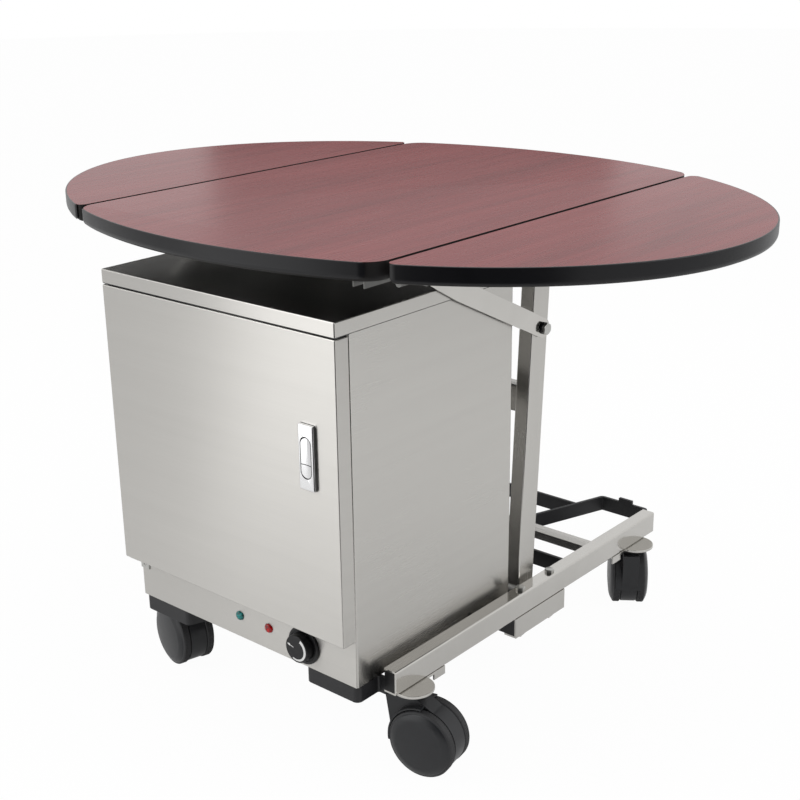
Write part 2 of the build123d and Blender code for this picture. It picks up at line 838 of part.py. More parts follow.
# Thermostat behind the plinth panel
with BuildPart() as thermostat_body:
    with BuildSketch(at_y(frame_back)):
        rect(knob_x - thermostat_width / 2, knob_x + thermostat_width / 2,
             knob_height - thermostat_height / 2, knob_height + thermostat_height / 2)
    extrude(amount=-thermostat_depth)
    with BuildSketch(at_y(frame_back)):
        disc(knob_x, knob_height, spindle_radius + running_clearance)
    extrude(amount=-spindle_depth - spindle_hole_clearance, mode=Mode.SUBTRACT)
save(thermostat_body, "thermostat_body")

# Dial bezel round the knob
with BuildPart() as dial_bezel:
    with BuildSketch(at_y(cabinet_front)):
        disc(knob_x, knob_height, bezel_radius)
    extrude(amount=bezel_thickness)
    chamfer(dial_bezel.faces().sort_by(Axis.Y)[0].edges(), bezel_chamfer)
    with BuildSketch(at_y(cabinet_front)):
        disc(knob_x, knob_height, spindle_radius + spindle_hole_clearance)
    extrude(amount=bezel_thickness, mode=Mode.SUBTRACT)
save(dial_bezel, "dial_bezel")

# Thermostat knob with its spindle
knob_back = cabinet_front - bezel_thickness - knob_gap
knob_centre = (knob_x, knob_back, knob_height)
with BuildPart() as thermostat_knob:
    with BuildSketch(Plane(origin=knob_centre, x_dir=(1, 0, 0), z_dir=(0, 0, -1))):
        with BuildLine():
            Polyline((0, 0), (knob_radius, 0), (knob_radius - knob_draft, knob_depth - knob_bevel),
                     (knob_radius - knob_draft - knob_bevel, knob_depth), (0, knob_depth), close=True)
        make_face()
    revolve(axis=Axis(knob_centre, (0, -1, 0)))
    with BuildSketch(at_y(knob_back)):
        disc(knob_x, knob_height, spindle_radius)
    extrude(amount=knob_back - frame_back - spindle_depth)
save(thermostat_knob, "thermostat_knob")

# Indicator lamps: a bevelled lens on a barrel
for name, lamp_x in (("lamp_green", green_lamp_x), ("lamp_red", red_lamp_x)):
    with BuildPart() as lamp:
        with BuildSketch(at_y(cabinet_front)):
            disc(lamp_x, control_height, lamp_lens_radius)
        extrude(amount=lamp_lens_height)
        chamfer(lamp.faces().sort_by(Axis.Y)[0].edges(), lamp_lens_bevel)
        with BuildSketch(at_y(cabinet_front)):
            disc(lamp_x, control_height, lamp_barrel_radius)
        extrude(amount=-lamp_barrel_length)
    save(lamp, name)

# Power inlet: a flanged socket with three blades
with BuildPart() as power_inlet:
    with BuildSketch(at_y(cabinet_back)):
        rect(inlet_x - inlet_flange_width / 2, inlet_x + inlet_flange_width / 2,
             inlet_height - inlet_flange_height / 2, inlet_height + inlet_flange_height / 2)
    extrude(amount=-inlet_flange)
    with BuildSketch(at_y(cabinet_back)):
        rect(inlet_x - inlet_body_width / 2, inlet_x + inlet_body_width / 2,
             inlet_height - inlet_body_height / 2, inlet_height + inlet_body_height / 2)
    extrude(amount=inlet_body_depth)
    with BuildSketch(at_y(cabinet_back + inlet_flange)):
        rect(inlet_x - inlet_body_width / 2 + inlet_wall, inlet_x + inlet_body_width / 2 - inlet_wall,
             inlet_height - inlet_body_height / 2 + inlet_wall,
             inlet_height + inlet_body_height / 2 - inlet_wall)
    extrude(amount=inlet_pocket_depth, mode=Mode.SUBTRACT)
    with BuildSketch(at_y(cabinet_back + inlet_flange - inlet_pocket_depth)):
        for step in (-1, 0, 1):
            rect(inlet_x + step * inlet_pin_pitch - inlet_pin_width / 2,
                 inlet_x + step * inlet_pin_pitch + inlet_pin_width / 2,
                 inlet_height - inlet_pin_height / 2, inlet_height + inlet_pin_height / 2)
    extrude(amount=-inlet_pin_length)
save(power_inlet, "power_inlet")

# Door pivots: a bracket with a pin at the foot, a plate with a pin under the cap
with BuildPart() as door_pivots:
    with BuildSketch(at_x(-cabinet_half)):
        rect(cabinet_front - pivot_plate_depth, cabinet_front, deck_top - pivot_plate, deck_top)
        rect(cabinet_front - pivot_tab, cabinet_front, deck_top - pivot_tab_height, deck_top)
    extrude(amount=pivot_plate_width)
    with BuildSketch(at_z(deck_top)):
        disc(pivot_x, door_middle, pivot_radius)
    extrude(amount=door_bottom_gap + pivot_depth)
    with BuildSketch(at_z(cabinet_top)):
        rect(-cabinet_half, pivot_plate_width - cabinet_half, cabinet_front - pivot_plate_depth,
             cabinet_front - pivot_tab)
    extrude(amount=-pivot_upper_plate)
    with BuildSketch(at_z(cabinet_top)):
        disc(pivot_x, door_middle, pivot_radius)
    extrude(amount=-door_top_gap - pivot_depth)
save(door_pivots, "door_pivots")

body_half_width = latch_body_width / 2 + fit_clearance
body_half_height = latch_body_height / 2 + fit_clearance
boss_half_width = boss_width / 2 + fit_clearance
boss_half_height = boss_height / 2 + fit_clearance


def latch_cut(half_width, half_height):
    """Opening for the latch in one layer of the door."""
    rect(latch_x - half_width, latch_x + half_width, latch_height - half_height, latch_height + half_height)


# Door skin: a pan open to the back
with BuildPart() as door_skin:
    with BuildSketch(at_y(door_back)):
        rect(-door_half, door_half, door_bottom, door_top)
    extrude(amount=door_thickness)
    with BuildSketch(at_y(door_back)):
        rect(-door_inside, door_inside, door_bottom + sheet, door_top - sheet)
    extrude(amount=door_thickness - sheet, mode=Mode.SUBTRACT)
    with BuildSketch(at_z(door_bottom)):
        disc(pivot_x, door_middle, pivot_radius + running_clearance)
    extrude(amount=door_top - door_bottom, mode=Mode.SUBTRACT)
    with BuildSketch(at_y(door_front + sheet)):
        latch_cut(body_half_width, body_half_height)
    extrude(amount=sheet, mode=Mode.SUBTRACT)
save(door_skin, "door_skin")

# Door core: insulation with room for the pins and the latch
with BuildPart() as door_core:
    with BuildSketch(at_y(door_back - sheet)):
        rect(-door_inside, door_inside, door_bottom + sheet, door_top - sheet)
    extrude(amount=door_thickness - 2 * sheet)
    for level, way in ((door_bottom + sheet, 1), (door_top - sheet, -1)):
        with BuildSketch(at_z(level)):
            disc(pivot_x, door_middle, pivot_radius + pivot_pocket_clearance)
        extrude(amount=way * pivot_depth, mode=Mode.SUBTRACT)
    with BuildSketch(at_y(door_front + latch_body_depth + fit_clearance)):
        latch_cut(body_half_width, body_half_height)
    extrude(amount=latch_body_depth, mode=Mode.SUBTRACT)
    with BuildSketch(at_y(door_back)):
        latch_cut(boss_half_width, boss_half_height)
    extrude(amount=door_thickness - latch_body_depth, mode=Mode.SUBTRACT)
save(door_core, "door_core")

# Door liner: the back sheet inside the pan
with BuildPart() as door_liner:
    with BuildSketch(at_y(door_back)):
        rect(-door_inside, door_inside, door_bottom + sheet, door_top - sheet)
        rect(latch_x - boss_half_width, latch_x + boss_half_width, latch_height - boss_half_height,
             latch_height + boss_half_height, mode=Mode.SUBTRACT)
    extrude(amount=sheet)
save(door_liner, "door_liner")

# Gasket: a flat ring on the door liner, just short of the frame
with BuildPart() as door_gasket:
    gasket_half = cavity_half + gasket_overlap + gasket_width
    gasket_low = door_bottom + sheet
    gasket_high = cavity_roof + gasket_overlap + gasket_width
    with BuildSketch(at_y(cabinet_front - fit_clearance)):
        rect(-gasket_half, gasket_half, gasket_low, gasket_high)
        rect(-gasket_half + gasket_width, gasket_half - gasket_width, gasket_low + gasket_width,
             gasket_high - gasket_width, mode=Mode.SUBTRACT)
    extrude(amount=door_standoff - fit_clearance)
save(door_gasket, "door_gasket")

latch_face = door_front - latch_plate_proud
oval_top = latch_height + oval_height / 2
paddle_axis_z = oval_top - paddle_axis_below_top
grip_front = latch_face - grip_proud
paddle_axis_y = grip_front + grip_thickness / 2
split_height = latch_height - grip_split
boss_back = door_back + boss_behind_door
tongue_middle = boss_back - tongue_inset - tongue_thickness / 2

# Latch housing: a plate with an oval well, a body in the door, a boss with the tongue's guide
with BuildPart() as latch_housing:
    with BuildSketch(at_y(door_front)):
        with Locations((latch_x, latch_height)):
            RectangleRounded(latch_plate_width, latch_plate_height, latch_plate_corner)
    extrude(amount=latch_plate_proud)
    chamfer(latch_housing.faces().sort_by(Axis.Y)[0].edges(), latch_plate_chamfer)
    with BuildSketch(at_y(door_front)):
        with Locations((latch_x, latch_height)):
            Rectangle(latch_body_width, latch_body_height)
    extrude(amount=-latch_body_depth)
    with BuildSketch(at_y(door_front + latch_body_depth)):
        with Locations((latch_x, latch_height)):
            Rectangle(boss_width, boss_height)
    extrude(amount=door_front + latch_body_depth - boss_back)
    with BuildSketch(at_y(latch_face + oval_depth)):
        with Locations((latch_x, latch_height)):
            SlotOverall(oval_height, oval_width, rotation=90)
    extrude(amount=oval_depth, mode=Mode.SUBTRACT)
    with BuildSketch(at_x(latch_x - boss_width / 2)):
        with Locations((tongue_middle, latch_height)):
            Rectangle(tongue_thickness + 2 * fit_clearance, tongue_height + 2 * fit_clearance)
    extrude(amount=boss_width, mode=Mode.SUBTRACT)
    with BuildSketch(at_x(latch_x)):
        disc(paddle_axis_y, paddle_axis_z, paddle_pin_radius)
    extrude(amount=oval_width / 2 + grip_end_gap, both=True)
save(latch_housing, "latch_housing")


def grip_outline():
    """Oval of paddle and button together, inside the well."""
    with Locations((latch_x, latch_height)):
        SlotOverall(oval_height - 2 * grip_end_gap, oval_width - 2 * grip_side_gap, rotation=90)


# Paddle: the upper part of the oval, on a cross pin
with BuildPart() as latch_paddle:
    with BuildSketch(at_y(grip_front + grip_thickness)):
        grip_outline()
        rect(latch_x - oval_width, latch_x + oval_width, split_height + grip_side_gap / 2, oval_top,
             mode=Mode.INTERSECT)
    extrude(amount=grip_thickness)
    with BuildSketch(at_x(latch_x)):
        disc(paddle_axis_y, paddle_axis_z, paddle_pin_radius + running_clearance)
    extrude(amount=oval_width, both=True, mode=Mode.SUBTRACT)
save(latch_paddle, "latch_paddle")

# Push button: the lower part of the oval
with BuildPart() as latch_button:
    with BuildSketch(at_y(grip_front + grip_thickness)):
        grip_outline()
        rect(latch_x - oval_width, latch_x + oval_width, latch_height - oval_height,
             split_height - grip_side_gap / 2, mode=Mode.INTERSECT)
    extrude(amount=grip_thickness)
save(latch_button, "latch_button")

# Tongue: a bar that slides through the boss
with BuildPart() as latch_tongue:
    tongue_tip = cavity_half - tongue_tip_gap
    with BuildSketch(at_x(tongue_tip - tongue_length)):
        with Locations((tongue_middle, latch_height)):
            Rectangle(tongue_thickness, tongue_height)
    extrude(amount=tongue_length)
    chamfer(latch_tongue.faces().sort_by(Axis.X)[-1].edges().filter_by(Axis.Z).sort_by(Axis.Y)[-1],
            tongue_thickness / 2)
save(latch_tongue, "latch_tongue")

# Casters: a hood on a stem, two wheels pressed on one axle
wheel_inner = hood_thickness / 2 + wheel_gap
shoulder = wheel_inner + tread_width
wheel_outer = shoulder + face_rise
shield_inner = wheel_radius + shield_gap
shield_outer = shield_inner + shield_wall
boss_bottom = hood_top - swivel_boss_height
casters = (("front_left", -1, caster_rows[0], front_left_heading),
           ("front_right", 1, caster_rows[0], front_right_heading),
           ("rear_left", -1, caster_rows[1], rear_left_heading),
           ("rear_right", 1, caster_rows[1], rear_right_heading))
for name, side, row, heading in casters:
    along = (cos(radians(heading)), sin(radians(heading)), 0)
    across = (sin(radians(heading)), -cos(radians(heading)), 0)
    foot = (side * caster_x, row, 0)
    hub = (foot[0] + caster_trail * along[0], foot[1] + caster_trail * along[1], wheel_radius)
    flank = Plane(origin=foot, x_dir=along, z_dir=across)
    with BuildPart() as hood:
        with BuildSketch(flank):
            disc(caster_trail, wheel_radius, hood_radius)
            Polygon((-hood_front, boss_bottom), (hood_rear, boss_bottom),
                    (caster_trail + hood_rear, wheel_radius + hood_radius * cos(radians(30))),
                    (caster_trail, wheel_radius), (caster_trail - shield_outer, wheel_radius),
                    align=None)
            rect(-wheel_radius, caster_trail + wheel_radius, 0, hood_cut, mode=Mode.SUBTRACT)
        extrude(amount=hood_thickness / 2, both=True)
        with BuildSketch(flank):
            disc(caster_trail, wheel_radius, shield_outer)
            disc(caster_trail, wheel_radius, shield_inner, mode=Mode.SUBTRACT)
            rect(caster_trail - shield_outer, caster_trail, shield_bottom, wheel_radius + shield_outer,
                 mode=Mode.INTERSECT)
        extrude(amount=shield_width / 2, both=True)
        with BuildSketch(at_z(boss_bottom)):
            disc(foot[0], foot[1], swivel_boss_radius)
        extrude(amount=swivel_boss_height)
        with BuildSketch(at_z(hood_top)):
            disc(foot[0], foot[1], stem_radius)
        extrude(amount=stem_rise)
        with BuildSketch(flank):
            disc(caster_trail, wheel_radius, axle_radius + running_clearance)
        extrude(amount=hood_thickness, both=True, mode=Mode.SUBTRACT)
    save(hood, f"caster_{name}_hood")
    with BuildPart() as wheels:
        axle_line = Axis(hub, across)
        with BuildSketch(Plane(origin=hub, x_dir=across, z_dir=along)):
            tread_edge = wheel_radius - tyre_bevel
            bore = axle_radius + press_clearance
            with BuildLine():
                Polyline((wheel_inner, bore), (wheel_inner, tread_edge), (wheel_inner + tyre_bevel, wheel_radius),
                         (shoulder - tyre_bevel, wheel_radius), (shoulder, tread_edge),
                         (shoulder + cap_rise, cap_radius), (wheel_outer, hub_radius), (wheel_outer, bore),
                         close=True)
            make_face()
        revolve(axis=axle_line)
        mirror(about=Plane(origin=hub, x_dir=along, z_dir=across))
        with BuildSketch(Plane(origin=hub, x_dir=along, z_dir=across)):
            Circle(axle_radius)
        extrude(amount=wheel_outer, both=True)
    save(wheels, f"caster_{name}_wheels")
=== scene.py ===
import json
import math

import bmesh
import bpy
from bpy.props import FloatProperty, FloatVectorProperty, IntProperty, PointerProperty
from mathutils import Matrix, Vector


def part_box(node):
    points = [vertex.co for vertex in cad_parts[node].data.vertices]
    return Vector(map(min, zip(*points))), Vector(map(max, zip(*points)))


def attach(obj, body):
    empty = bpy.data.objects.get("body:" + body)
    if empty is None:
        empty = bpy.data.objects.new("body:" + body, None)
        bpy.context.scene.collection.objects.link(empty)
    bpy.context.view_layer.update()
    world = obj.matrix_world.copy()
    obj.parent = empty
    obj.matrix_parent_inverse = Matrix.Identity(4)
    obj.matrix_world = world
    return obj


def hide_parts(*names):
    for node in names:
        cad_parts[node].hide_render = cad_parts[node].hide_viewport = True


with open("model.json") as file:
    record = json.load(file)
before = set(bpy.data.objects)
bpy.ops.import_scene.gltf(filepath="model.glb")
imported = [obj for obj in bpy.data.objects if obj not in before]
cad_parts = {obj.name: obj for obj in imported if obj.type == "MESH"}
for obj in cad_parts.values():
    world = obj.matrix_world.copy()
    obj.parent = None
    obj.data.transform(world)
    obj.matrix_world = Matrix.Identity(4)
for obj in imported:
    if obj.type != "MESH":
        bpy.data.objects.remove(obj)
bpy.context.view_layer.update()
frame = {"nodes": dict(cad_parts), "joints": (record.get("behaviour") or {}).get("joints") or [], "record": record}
NODES = frame["nodes"]
BODY = {n: body for body, nodes in frame["record"]["behaviour"]["bodies"].items() for n in nodes}
JOINT = {joint["child"]: joint for joint in frame["joints"]}
CORNERS = ("front_left", "front_right", "rear_left", "rear_right")
X, Y, Z = Vector((1, 0, 0)), Vector((0, 1, 0)), Vector((0, 0, 1))
MM = 0.001
# how close to a level an edge lies to be picked there
NEAR = 0.1 * MM
# depth of the post tube, front to back
POST_DEPTH = 40 * MM
# thickness of the cabinet's sheet
SHEET = 1.2 * MM

bl_info = {
    "name": "Room-service table",
    "version": (1, 0, 0),
    "blender": (4, 5, 0),
    "location": "View3D > Sidebar > Table",
    "description": "Finishes and fine pieces of a drop-leaf table with a heated cabinet",
    "category": "Object",
}


def length(title, about, millimetres):
    """A size that a user may change."""
    return FloatProperty(name=title, description=about, default=millimetres * MM, min=0.0,
                         unit="LENGTH", subtype="DISTANCE")


def colour(title, about, red, green, blue):
    """A colour that a user may change."""
    return FloatVectorProperty(name=title, description=about, default=(red, green, blue),
                               size=3, min=0.0, max=1.0, subtype="COLOR")


class TableSizes(bpy.types.PropertyGroup):
    """Sizes of the fine shapes."""
    sheet_bend: length("Sheet bend", "Outside radius of folded cabinet sheet", 2.0)
    cap_bend: length("Cap bend", "Outside radius of the cap's folds", 2.2)
    post_corner: length("Post corner", "Outside corner of the post tube", 3.0)
    bar_edge: length("Bar edge", "Rounding on the black bars", 0.8)
    plate_edge: length("Plate edge", "Rounding on cut steel plate", 0.5)
    knob_edge: length("Knob edge", "Rounding on the face of the knob", 1.6)
    tread_groove: length("Tread groove", "Depth of the fine grooves in the tyres", 0.45)
    tread_columns: IntProperty(name="Tread columns", description="Ribs and grooves round one tyre",
                               default=168, min=24)
    bead: length("Weld bead", "Radius of a weld bead", 1.7)
    screw_head: length("Screw head", "Radius of a hinge screw's head", 3.4)
    edging_lip: length("Edging lip", "Width of the moulding seen from above", 2.2)
    edging_top: length("Edging top", "Rounding along the top of the moulding", 1.5)
    edging_foot: length("Edging foot", "Rounding along the bottom of the moulding", 11.0)
    centre_corner: length("Centre corner", "Corner of the centre board at a seam, seen from above", 24.0)
    leaf_corner: length("Leaf corner", "Corner of a leaf at a seam, seen from above", 18.0)
    seam_ease: length("Seam ease", "How far a board stands back from its seam line", 2.0)
    seam_edge: length("Seam edge", "Broken edge along a seam", 1.0)
    oval_points: IntProperty(name="Oval points", description="Points round the table's oval",
                             default=288, min=48)
    plate_width: length("Latch plate width", "Face plate of the latch", 27.5)
    plate_height: length("Latch plate height", "Face plate of the latch", 91.5)
    plate_rise: length("Latch plate rise", "How far the face plate stands proud of the door", 5.6)
    well_width: length("Latch well width", "Oval well in the face plate", 19.8)
    well_height: length("Latch well height", "Oval well in the face plate", 59.0)
    grip_gap: length("Latch grip gap", "Running gap round paddle and button", 1.1)
    knob_radius: length("Knob radius", "Thermostat knob", 21.4)
    knob_depth: length("Knob depth", "From the ring to the face of the knob", 12.8)
    door_ease: length("Door ease", "How far the door's rim stands off the frame, beyond its solid", 1.5)
    gasket_margin: length("Gasket margin", "From the door's edge to the gasket", 5.0)
    gasket_width: length("Gasket width", "Width of the gasket's band", 26.0)
    # height of the black strip under the cap: painted shadow standing in for the shade in the gap there
    cap_seal: length("Cap seal", "Height of the black seal under the cap", 2.2)


class TableFinishes(bpy.types.PropertyGroup):
    """Colours of the finishes."""
    laminate_dark: colour("Laminate, dark grain", "Darkest streaks of the table top", 0.112, 0.015, 0.017)
    laminate_mid: colour("Laminate, body", "Main colour of the table top", 0.160, 0.023, 0.025)
    laminate_light: colour("Laminate, light grain", "Lightest streaks of the table top", 0.205, 0.036, 0.037)
    backing: colour("Backing", "Underside of the boards", 0.012, 0.011, 0.011)
    edging: colour("Edging", "Moulding round the table", 0.004, 0.004, 0.005)
    steel: colour("Stainless steel", "Brushed sheet", 0.530, 0.518, 0.495)
    steel_shade: colour("Stainless steel, shade", "Darker strokes of the brushing", 0.460, 0.449, 0.427)
    zinc: colour("Zinc plate", "Hinges and screws", 0.520, 0.520, 0.500)
    chrome: colour("Chrome", "Latch", 0.660, 0.660, 0.665)
    enamel: colour("Black enamel", "Bars under the cabinet", 0.009, 0.009, 0.010)
    nylon: colour("Caster nylon", "Hoods and wheel faces", 0.011, 0.0115, 0.013)
    tyre: colour("Tyre", "Treads", 0.011, 0.011, 0.012)
    knob: colour("Knob", "Thermostat knob and its ring", 0.005, 0.005, 0.0055)
    print_white: colour("Print", "Marks on the knob", 0.720, 0.720, 0.710)
    green: colour("Green lens", "Lamp", 0.000, 0.230, 0.220)
    red: colour("Red lens", "Lamp", 0.560, 0.006, 0.008)
    seal: colour("Seal", "Door gasket", 0.045, 0.045, 0.047)
    brass: colour("Brass", "Blades of the inlet", 0.720, 0.520, 0.220)
    foam: colour("Foam", "Insulation", 0.640, 0.560, 0.330)


class TableStage(bpy.types.PropertyGroup):
    """Camera, light and floor."""
    eye: FloatVectorProperty(name="Camera place", description="Where the camera stands", size=3,
                             default=(1.32662, -1.55000, 1.12935), subtype="TRANSLATION")
    focal: FloatProperty(name="Focal length", description="Lens, in millimetres", default=60.924)
    fill: FloatProperty(name="Fill", description="Strength of the light from all round", default=0.62)
    floor_tone: colour("Floor", "Plain pale floor", 0.86, 0.86, 0.86)


class Signal:
    """One value in a finish. Arithmetic on it adds Math nodes."""

    def __init__(self, finish, socket):
        self.finish = finish
        self.socket = socket

    def math(self, operation, first, second):
        return self.finish.node("ShaderNodeMath", {"operation": operation}, {0: first, 1: second})

    def __add__(self, other):
        return self.math("ADD", self, other)

    def __radd__(self, other):
        return self.math("ADD", other, self)

    def __sub__(self, other):
        return self.math("SUBTRACT", self, other)

    def __rsub__(self, other):
        return self.math("SUBTRACT", other, self)

    def __mul__(self, other):
        return self.math("MULTIPLY", self, other)

    def __rmul__(self, other):
        return self.math("MULTIPLY", other, self)

    def __gt__(self, other):
        return self.math("GREATER_THAN", self, other)


class Recipe:
    """Nodes of a material or a world that is being made."""

    def __init__(self, owner, output):
        owner.use_nodes = True
        self.tree = owner.node_tree
        self.tree.nodes.clear()
        self.output = self.tree.nodes.new(output)

    def feed(self, socket, value):
        """Link a signal to a socket, or set its constant."""
        if isinstance(value, Signal):
            self.tree.links.new(value.socket, socket)
        elif isinstance(socket.default_value, float):
            socket.default_value = value
        else:
            wanted = len(socket.default_value)
            socket.default_value = (*value, 1.0)[:wanted]

    def node(self, kind, options=None, inputs=None, out=0):
        """Any other node: its type, its settings, and the values or links of its sockets."""
        made = self.tree.nodes.new(kind)
        for key, value in (options or {}).items():
            if key == "stops":
                ramp = made.color_ramp
                while len(ramp.elements) < len(value):
                    ramp.elements.new(0.5)
                for element, (place, tone) in zip(ramp.elements, value):
                    element.position = place
                    element.color = (*tone, 1.0)
            else:
                setattr(made, key, value)
        for key, value in (inputs or {}).items():
            self.feed(made.inputs[key], value)
        return Signal(self, made.outputs[out])

    def show(self, look):
        """Send a shader to the output."""
        self.tree.links.new(look.socket, self.output.inputs["Surface"])

    def rays(self):
        """Rays from the eye, off a gloss and through something clear."""
        return [self.node("ShaderNodeLightPath", out=f"Is {kind} Ray")
                for kind in ("Camera", "Glossy", "Transmission")]


class Finish(Recipe):
    """A material that is being made, with one shader."""

    def __init__(self, name):
        self.material = bpy.data.materials.new(name)
        super().__init__(self.material, "ShaderNodeOutputMaterial")
        self.shader = self.node("ShaderNodeBsdfPrincipled")
        self.show(self.shader)

    def place(self):
        """Where on the piece, in metres."""
        return self.node("ShaderNodeTexCoord", out="Object")

    def axis(self, name):
        """One coordinate of the piece."""
        return self.node("ShaderNodeSeparateXYZ", inputs={0: self.place()}, out=name)

    def noise(self, stretch, detail=2.0, roughness=0.5, warp=0.0):
        """Cloudy pattern, with one scale or its own along each axis."""
        if isinstance(stretch, float):
            stretch = (stretch, stretch, stretch)
        where = self.node("ShaderNodeMapping", inputs={"Vector": self.place(), "Scale": stretch})
        return self.node("ShaderNodeTexNoise", inputs={
            "Vector": where, "Scale": 1.0, "Detail": detail, "Roughness": roughness, "Distortion": warp})

    def mix(self, share, first, second):
        """Blend of two colours."""
        return self.node("ShaderNodeMix", {"data_type": "RGBA"}, {0: share, 6: first, 7: second}, out=2)

    def ramp(self, share, *stops):
        """Colours along a scale."""
        return self.node("ShaderNodeValToRGB", {"stops": stops}, {0: share})

    def bump(self, height, strength, distance):
        """Fine relief."""
        return self.node("ShaderNodeBump", inputs={
            "Strength": strength, "Distance": distance, "Height": height})

    def surface(self, **sockets):
        """Set the shader's sockets and return the material."""
        for name, value in sockets.items():
            self.feed(self.shader.socket.node.inputs[name.replace("_", " ")], value)
        return self.material

    def mottled(self, cloud, dark, pale, rough, spread, **sockets):
        """A surface whose colour and gloss drift with a cloud."""
        return self.surface(Base_Color=self.mix(cloud, dark, pale), Roughness=rough + spread * cloud,
                            **sockets)


def kept(make):
    """A finish is made once, from the scene's colours, and then used again."""
    def named(*choice):
        name = "_".join((make.__name__, *choice))
        tone = bpy.context.scene.table_finishes
        return bpy.data.materials.get(name) or make(Finish(name), tone, *choice)
    return named


def tinted(tone, share):
    """A colour made darker or lighter."""
    return tuple(share * part for part in tone)


STROKES = {"x": (5.0, 900.0, 900.0), "y": (900.0, 5.0, 900.0), "z": (900.0, 900.0, 5.0),
           "level": (5.0, 5.0, 900.0)}


@kept
def brushed_steel(f, tone, way="z", sheen="fine"):
    """Stainless sheet with long fine strokes, which draw reflections out, and faint smudges."""
    strokes = f.noise(STROKES[way], detail=3.0, roughness=0.6)
    broad = f.noise(tuple(0.06 * s if s > 10 else 0.5 for s in STROKES[way]), detail=2.0)
    smudge = f.noise(7.0, detail=3.0, warp=0.6)
    shade = strokes * 0.6 + broad * 0.4
    soft = sheen == "soft"
    rough = (0.27 if soft else 0.20) + 0.07 * strokes + 0.05 * smudge
    return f.surface(Base_Color=f.mix(shade, tone.steel_shade, tone.steel), Metallic=1.0,
                     Roughness=rough, Anisotropic=0.85 if soft else 0.7,
                     Anisotropic_Rotation=0.0 if way == "z" else 0.25,
                     Normal=f.bump(strokes, 0.06, 0.00004))


@kept
def plain_steel(f, tone):
    """Mill finish of bars, plates and tubes, with a fine random grain."""
    grain = f.noise(420.0, detail=3.0, roughness=0.6)
    cloud = f.noise(16.0, detail=3.0, warp=0.5)
    bright, shade = tinted(tone.steel, 1.08), tinted(tone.steel_shade, 1.08)
    return f.surface(Base_Color=f.mix(cloud, shade, bright), Metallic=1.0,
                     Roughness=0.07 + 0.06 * grain + 0.06 * cloud, Normal=f.bump(grain, 0.05, 0.00003))


@kept
def zinc_plate(f, tone):
    """Bright zinc on hinges and screws, slightly spangled."""
    spangle = f.node("ShaderNodeTexVoronoi", inputs={"Vector": f.place(), "Scale": 260.0})
    cloud = f.noise(40.0, detail=2.0)
    dull = tinted(tone.zinc, 0.82)
    return f.surface(Base_Color=f.mix(cloud, dull, tone.zinc), Metallic=1.0,
                     Roughness=0.24 + 0.10 * cloud + 0.05 * spangle)


@kept
def dull_zinc(f, tone):
    """Dark grey zinc of hinges and channels: painted shade, the zinc colour darkened for their place in the shade
    under the table.
    """
    cloud = f.noise(60.0, detail=4.0, roughness=0.6)
    grain = f.noise(700.0, detail=2.0)
    # painted shade: the zinc colour at a fifth and a third of its strength
    dark, pale = tinted(tone.zinc, 0.20), tinted(tone.zinc, 0.34)
    return f.mottled(cloud, dark, pale, 0.36, 0.14, Metallic=1.0, Normal=f.bump(grain, 0.05, 0.0001))


@kept
def chrome_plate(f, tone):
    """Polished chrome with faint handling marks."""
    marks = f.noise(90.0, detail=4.0, warp=1.0)
    return f.surface(Base_Color=tone.chrome, Metallic=1.0, Roughness=0.09 + 0.07 * marks,
                     Normal=f.bump(marks, 0.02, 0.0001))


@kept
def weld_metal(f, _):
    """Cooled bead with straw and blue heat tint."""
    heat = f.noise(220.0, detail=2.0)
    tint = f.ramp(heat, (0.30, (0.33, 0.31, 0.29)), (0.52, (0.44, 0.36, 0.25)), (0.72, (0.27, 0.28, 0.33)))
    return f.surface(Base_Color=tint, Metallic=1.0, Roughness=0.32 + 0.12 * heat)


@kept
def laminate(f, tone, top):
    """Mahogany laminate: long dark figure, fine pores, orange peel. Backing and cut edges are black."""
    figure = f.noise((9.0, 1.1, 9.0), detail=4.0, roughness=0.55, warp=0.9)
    streak = f.noise((75.0, 2.2, 75.0), detail=4.0, roughness=0.65)
    pores = f.noise((520.0, 14.0, 520.0), detail=2.0, roughness=0.6)
    grain = figure * 0.42 + streak * 0.40 + pores * 0.18
    wood = f.ramp(grain, (0.34, tone.laminate_dark), (0.50, tone.laminate_mid),
                  (0.68, tone.laminate_light))
    face = f.axis("Z") > float(top)
    peel = f.noise(900.0, detail=1.0)
    return f.surface(Base_Color=f.mix(face, tone.backing, wood),
                     Roughness=0.46 - 0.22 * face + 0.08 * pores, IOR=1.24,
                     Normal=f.bump(peel * 0.5 + pores * 0.5, 0.05, 0.0001))


@kept
def edge_vinyl(f, tone):
    """Satin black moulding with a soft sheen."""
    cloud = f.noise(30.0, detail=3.0)
    grain = f.noise(1400.0, detail=1.0)
    pale = tinted(tone.edging, 1.5)
    return f.mottled(cloud, tone.edging, pale, 0.26, 0.10, IOR=1.34, Normal=f.bump(grain, 0.04, 0.0001))


@kept
def black_enamel(f, tone):
    """Powder coat with orange peel and a little dust."""
    peel = f.noise(480.0, detail=2.0)
    dust = f.noise(22.0, detail=4.0, roughness=0.65)
    pale = tinted(tone.enamel, 2.0)
    return f.mottled(dust, tone.enamel, pale, 0.34, 0.16, IOR=1.4, Normal=f.bump(peel, 0.16, 0.0002))


@kept
def caster_nylon(f, tone):
    """Moulded nylon with a faint spark-eroded texture and scuffs."""
    texture = f.noise(1100.0, detail=2.0)
    scuff = f.noise(38.0, detail=5.0, roughness=0.7, warp=1.2)
    pale = tinted(tone.nylon, 1.7)
    return f.mottled(scuff, tone.nylon, pale, 0.24, 0.18, IOR=1.42,
                     Normal=f.bump(texture, 0.06, 0.0001))


@kept
def tyre_rubber(f, tone):
    """Hard black tread, slightly dusty."""
    dust = f.noise(60.0, detail=5.0, roughness=0.7)
    grain = f.noise(900.0, detail=2.0)
    pale = tinted(tone.tyre, 2.4)
    return f.mottled(dust, tone.tyre, pale, 0.50, 0.20, Normal=f.bump(grain, 0.14, 0.0002))


